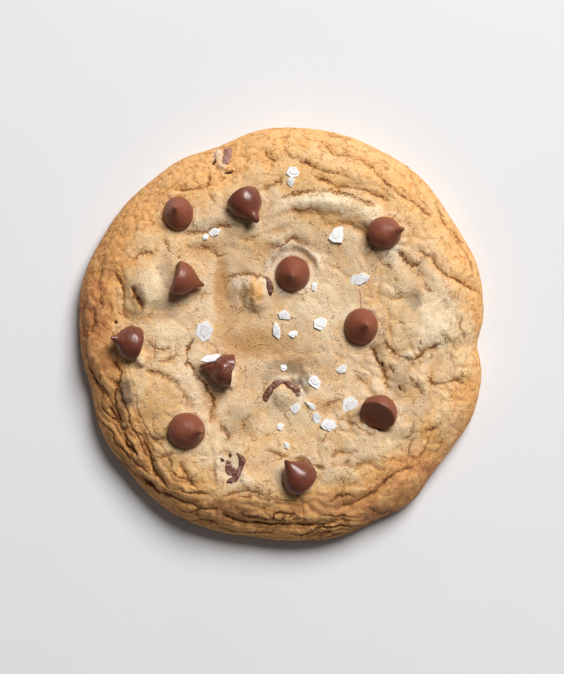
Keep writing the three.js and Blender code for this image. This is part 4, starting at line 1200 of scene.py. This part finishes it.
def chip_maker(material):
    m = Maker("chocolate_chip", ("Radius", "Height", "Curl", "Blunt", "Melt", "Seed"))
    sheet = {"Size X": 1.0, "Size Y": 1.0, "Vertices X": 73, "Vertices Y": 61}
    shape = m.add("GeometryNodeMeshGrid", sheet)
    spread = m.add("GeometryNodeInputPosition")
    parts = m.add("ShaderNodeSeparateXYZ", {0: spread}, output=None).outputs
    turn = m.times(m.plus(parts[0], 0.5), 2 * math.pi)
    climb = m.plus(parts[1], 0.5)
    knots = len(CHIP_PROFILE) - 1
    across = m.curve(climb, [(k / knots, p[0]) for k, p in enumerate(CHIP_PROFILE)])
    up = m.curve(climb, [(k / knots, p[1]) for k, p in enumerate(CHIP_PROFILE)])
    nub = m.curve(up, [(0, 0), (0.7, 0), (0.82, 0.7), (0.92, 1), (0.97, 0.8), (1, 0)])
    radius = m.sums("MULTIPLY_ADD", nub, m.given["Blunt"], m.times(across, m.given["Radius"]))
    bent = m.times(m.given["Curl"], m.sums("POWER", m.sums("MAXIMUM", up, 0.0), 4.0))
    x = m.plus(m.times(radius, m.sums("COSINE", turn)), bent)
    y = m.times(radius, m.sums("SINE", turn))
    z = m.times(up, m.given["Height"])
    shape = m.add("GeometryNodeSetPosition", {"Geometry": shape, "Position": m.point(x, y, z)})
    shape = m.add("GeometryNodeMergeByDistance", {"Geometry": shape, "Distance": 2e-6})
    where = m.vector("ADD", m.add("GeometryNodeInputPosition"), m.point(m.given["Seed"], 0.0, 0.0))
    dents = {"Vector": where, "Scale": 230.0, "Detail": 2.0, "Roughness": 0.5}
    shape = m.dented(shape, [m.given["Melt"]] * 3, dents)
    shape = m.add("GeometryNodeSetShadeSmooth", {0: shape})
    m.finish(shape, material)
    return m


def make_chips(chocolates):
    makers = {finish: chip_maker(chocolates[finish]) for finish in CHIP_FINISHES}
    chips = {}
    for number, (name, row) in enumerate(CHIPS.items()):
        x, y, rise, lean, toward, curl, tall, stretch_x, stretch_y, blunt, melt = row
        sizes = {
            "Radius": CHIP_RADIUS * MM,
            "Height": CHIP_HEIGHT * MM,
            "Curl": curl * MM,
            "Blunt": blunt * MM,
            "Melt": 4 * melt * MM,
            "Seed": 0.05 * (number + 1),
        }
        maker = makers[OTHER_FINISH.get(name, CHIP_FINISHES[0])]
        mesh = maker.run(name + "_chocolate", bpy.data.meshes.new("seed"), sizes)
        middle = CHIP_MIDDLE * CHIP_HEIGHT * MM
        mesh.transform(Matrix.Translation((0, 0, -middle)))
        for vertex in mesh.vertices:
            if vertex.co.z > 0:
                vertex.co.z *= tall
        place = Matrix.Translation(in_place(x, y, chip_level(x, y) + rise))
        turn = Matrix.Rotation(math.radians(toward), 4, "Z") @ Matrix.Rotation(math.radians(lean), 4, "Y")
        mesh.transform(place @ Matrix.Diagonal((stretch_x, stretch_y, 1, 1)) @ turn)
        chips[name] = placed(name + "_chocolate", outward(mesh))
    return chips


# How wide a ribbon is along its stroke: share of the way, share of its width.
RIBBON_SWELL = ((0, 0.12), (0.07, 0.5), (0.3, 0.95), (0.5, 1.0), (0.75, 0.9), (0.94, 0.5), (1, 0.12))


def ribbon_maker(material):
    """A rough flattened strand along each stroke, as wide as the stroke says."""
    m = Maker("chocolate_ribbon", ("Flatness", "Rough"))
    line = m.add("GeometryNodeResampleCurve", {"Curve": m.given["Shape"], "Count": 90})
    along = m.add("GeometryNodeSplineParameter", output="Factor")
    swell = m.curve(along, RIBBON_SWELL)
    wide = m.times(m.add("GeometryNodeInputRadius"), swell)
    ring = m.add("GeometryNodeCurvePrimitiveCircle", {"Resolution": 36, "Radius": 1.0})
    ring = m.add("GeometryNodeTransform", {"Geometry": ring, "Scale": m.point(1.0, m.given["Flatness"], 1.0)})
    strand = {"Curve": line, "Profile Curve": ring, "Scale": wide, "Fill Caps": True}
    shape = m.add("GeometryNodeCurveToMesh", strand)
    for scale, share in ((420.0, 1.0), (1500.0, 0.4)):
        shape = m.dented(shape, [m.times(m.given["Rough"], share)] * 3, {"Scale": scale, "Detail": 1.0})
    shape = m.add("GeometryNodeSetShadeSmooth", {0: shape})
    m.finish(shape, material)
    return m


def make_ribbons(chocolates):
    makers = {finish: ribbon_maker(chocolates[finish]) for finish in RIBBON_FINISHES}
    ribbons = {}
    for name, strokes in RIBBONS.items():
        maker = makers[OTHER_FINISH.get(name, RIBBON_FINISHES[0])]
        line = bpy.data.curves.new(name, "CURVE")
        line.dimensions = "3D"
        line.twist_mode = "Z_UP"
        for points, width, rise in strokes:
            path = rounded_path(points, 0.4)
            spline = line.splines.new("POLY")
            spline.points.add(len(path) - 1)
            for point, (x, y) in zip(spline.points, path):
                level = crust_height(x, y) + rise - RIBBON_FLATNESS * width / 2
                point.co = (*in_place(x, y, level), 1)
                point.radius = width / 2 * MM
        sizes = {"Flatness": RIBBON_FLATNESS, "Rough": RIBBON_ROUGHNESS * MM}
        ribbons[name] = placed(name + "_chocolate", outward(maker.run(name + "_chocolate", line, sizes)))
    return ribbons


def salt_maker(material):
    """A crystal plate with a step on it at each point, as long, wide and turned as the point says."""
    m = Maker("salt_flakes", ("Chipping",))
    size = m.add("GeometryNodeInputNamedAttribute", {"Name": "size"}, data_type="FLOAT_VECTOR")
    turn = m.add("GeometryNodeInputNamedAttribute", {"Name": "turn"}, data_type="FLOAT_VECTOR")
    turn = m.add("FunctionNodeEulerToRotation", {0: turn})
    prism = {"Vertices": 6, "Side Segments": 1, "Fill Segments": 1, "Radius": 0.52, "Depth": 1.0}
    plate = m.add("GeometryNodeMeshCylinder", prism)
    step = m.add("GeometryNodeTransform", {"Geometry": plate, "Translation": (0.06, -0.04, 0.4)})
    smaller = {"Geometry": step, "Rotation": (0, 0, 0.5), "Scale": (0.62, 0.58, 0.8)}
    step = m.add("GeometryNodeTransform", smaller)
    both = m.add("GeometryNodeJoinGeometry", output=None)
    m.tree.links.new(plate, both.inputs[0])
    m.tree.links.new(step, both.inputs[0])
    flakes = {"Points": m.given["Shape"], "Instance": both.outputs[0], "Rotation": turn, "Scale": size}
    shape = m.add("GeometryNodeInstanceOnPoints", flakes)
    shape = m.add("GeometryNodeRealizeInstances", {0: shape})
    chipping = m.given["Chipping"]
    shape = m.dented(shape, (chipping, chipping, 0.0), {"Scale": 480.0, "Detail": 2.0, "Roughness": 0.6})
    m.finish(shape, material)
    return m


def salt_points(rows):
    """One point for each flake, with its size and turn. A row is place, size, turn about each axis."""
    mesh = bpy.data.meshes.new("salt_points")
    mesh.from_pydata([in_place(*row[:3]) for row in rows], [], [])
    for name, part in (("size", slice(3, 6)), ("turn", slice(6, 9))):
        attribute = mesh.attributes.new(name, "FLOAT_VECTOR", "POINT")
        scale = MM if name == "size" else math.pi / 180
        attribute.data.foreach_set("vector", np.array([row[part] for row in rows], float).ravel() * scale)
    return mesh


def make_salt(material):
    maker = salt_maker(material)
    rows = []
    for number, (x, y, length, width, turn) in enumerate(SALT_FLAKES):
        level = crust_height(x, y) + SALT_THICKNESS / 2 - SALT_SUNK
        tip = SALT_TIP * math.sin(2.3 * number), SALT_TIP * math.cos(3.1 * number)
        rows.append((x, y, level, length, width, SALT_THICKNESS, *tip, turn))
    loose = maker.run("salt_flakes", salt_points(rows), {"Chipping": SALT_CHIPPING * MM})
    x, y, rise, length, width, turn, tilt = SALT_ON_CHIP
    rows = [(x, y, chip_level(x, y) + rise, length, width, SALT_THICKNESS, -tilt, 0, turn)]
    on_chip = maker.run("salt_on_chip", salt_points(rows), {"Chipping": CHIPPING_ON_CHIP * MM})
    return placed("salt_flakes", loose), placed("salt_on_chip", on_chip)


# ---------------------------------------------------------------- bench, light and camera
def make_bench():
    p = Paint("pale_bench")
    p.set(Base_Color=p.mix(p.mottle(40, 2), (0.80, 0.80, 0.805), (0.83, 0.83, 0.832)), Roughness=0.85)
    mesh = bpy.data.meshes.new("bench")
    corners = [(2.0 * across, 2.0 * up, 0) for across, up in ((-1, -1), (1, -1), (1, 1), (-1, 1))]
    mesh.from_pydata(corners, [], [(0, 1, 2, 3)])
    mesh.materials.append(p.material)
    placed("bench", mesh)


def lamp(name, azimuth, elevation, distance, size, watts):
    data = bpy.data.lights.new(name, "AREA")
    data.shape, data.size, data.energy = "DISK", size, watts
    light = placed(name, data)
    a, e = math.radians(azimuth), math.radians(elevation)
    light.location = distance * Vector((math.cos(a) * math.cos(e), math.sin(a) * math.cos(e), math.sin(e)))
    light.rotation_euler = light.location.to_track_quat("Z", "Y").to_euler()


def make_light():
    world = bpy.data.worlds.new("studio")
    bpy.context.scene.world = world
    world.use_nodes = True
    sky = world.node_tree.nodes["Background"]
    sky.inputs["Color"].default_value = (1, 1, 1, 1)
    sky.inputs["Strength"].default_value = 0.09
    lamp("window", 60, 48, 2.0, 1.15, 42.0)
    bpy.context.scene.view_settings.view_transform = "Standard"
    bpy.context.scene.view_settings.look = "Medium High Contrast"


def make_camera():
    """Straight down on the middle of the cookie."""
    lens, sensor = 135.0, 36.0
    framed, level, below = 192.1, 5.0, 0.86  # size of the picture at a level, and how low its middle lies
    data = bpy.data.cameras.new("camera")
    data.lens, data.sensor_width = lens, sensor
    camera = placed("camera", data)
    camera.location = (OVAL_OFF_CENTRE[0] * MM, -below * MM, (level + framed * lens / sensor) * MM)
    bpy.context.scene.camera = camera


# ---------------------------------------------------------------- the whole cookie
def main():
    chocolates = {name: chocolate_finish(name, *look) for name, look in CHOCOLATES.items()}
    salt = salt_finish()
    dough = bake_dough(dough_finish())
    flakes, flake_on_chip = make_salt(salt)
    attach(dough, BODY)
    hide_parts("cookie_dough")
    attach(flakes, BODY)
    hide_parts("cookie_dough")
    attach(flake_on_chip, BODY)
    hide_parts("chip_middle")
    for node, piece in {**make_chips(chocolates), **make_ribbons(chocolates)}.items():
        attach(piece, BODY)
        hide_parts(node)
    make_bench()
    make_light()
    make_camera()


main()
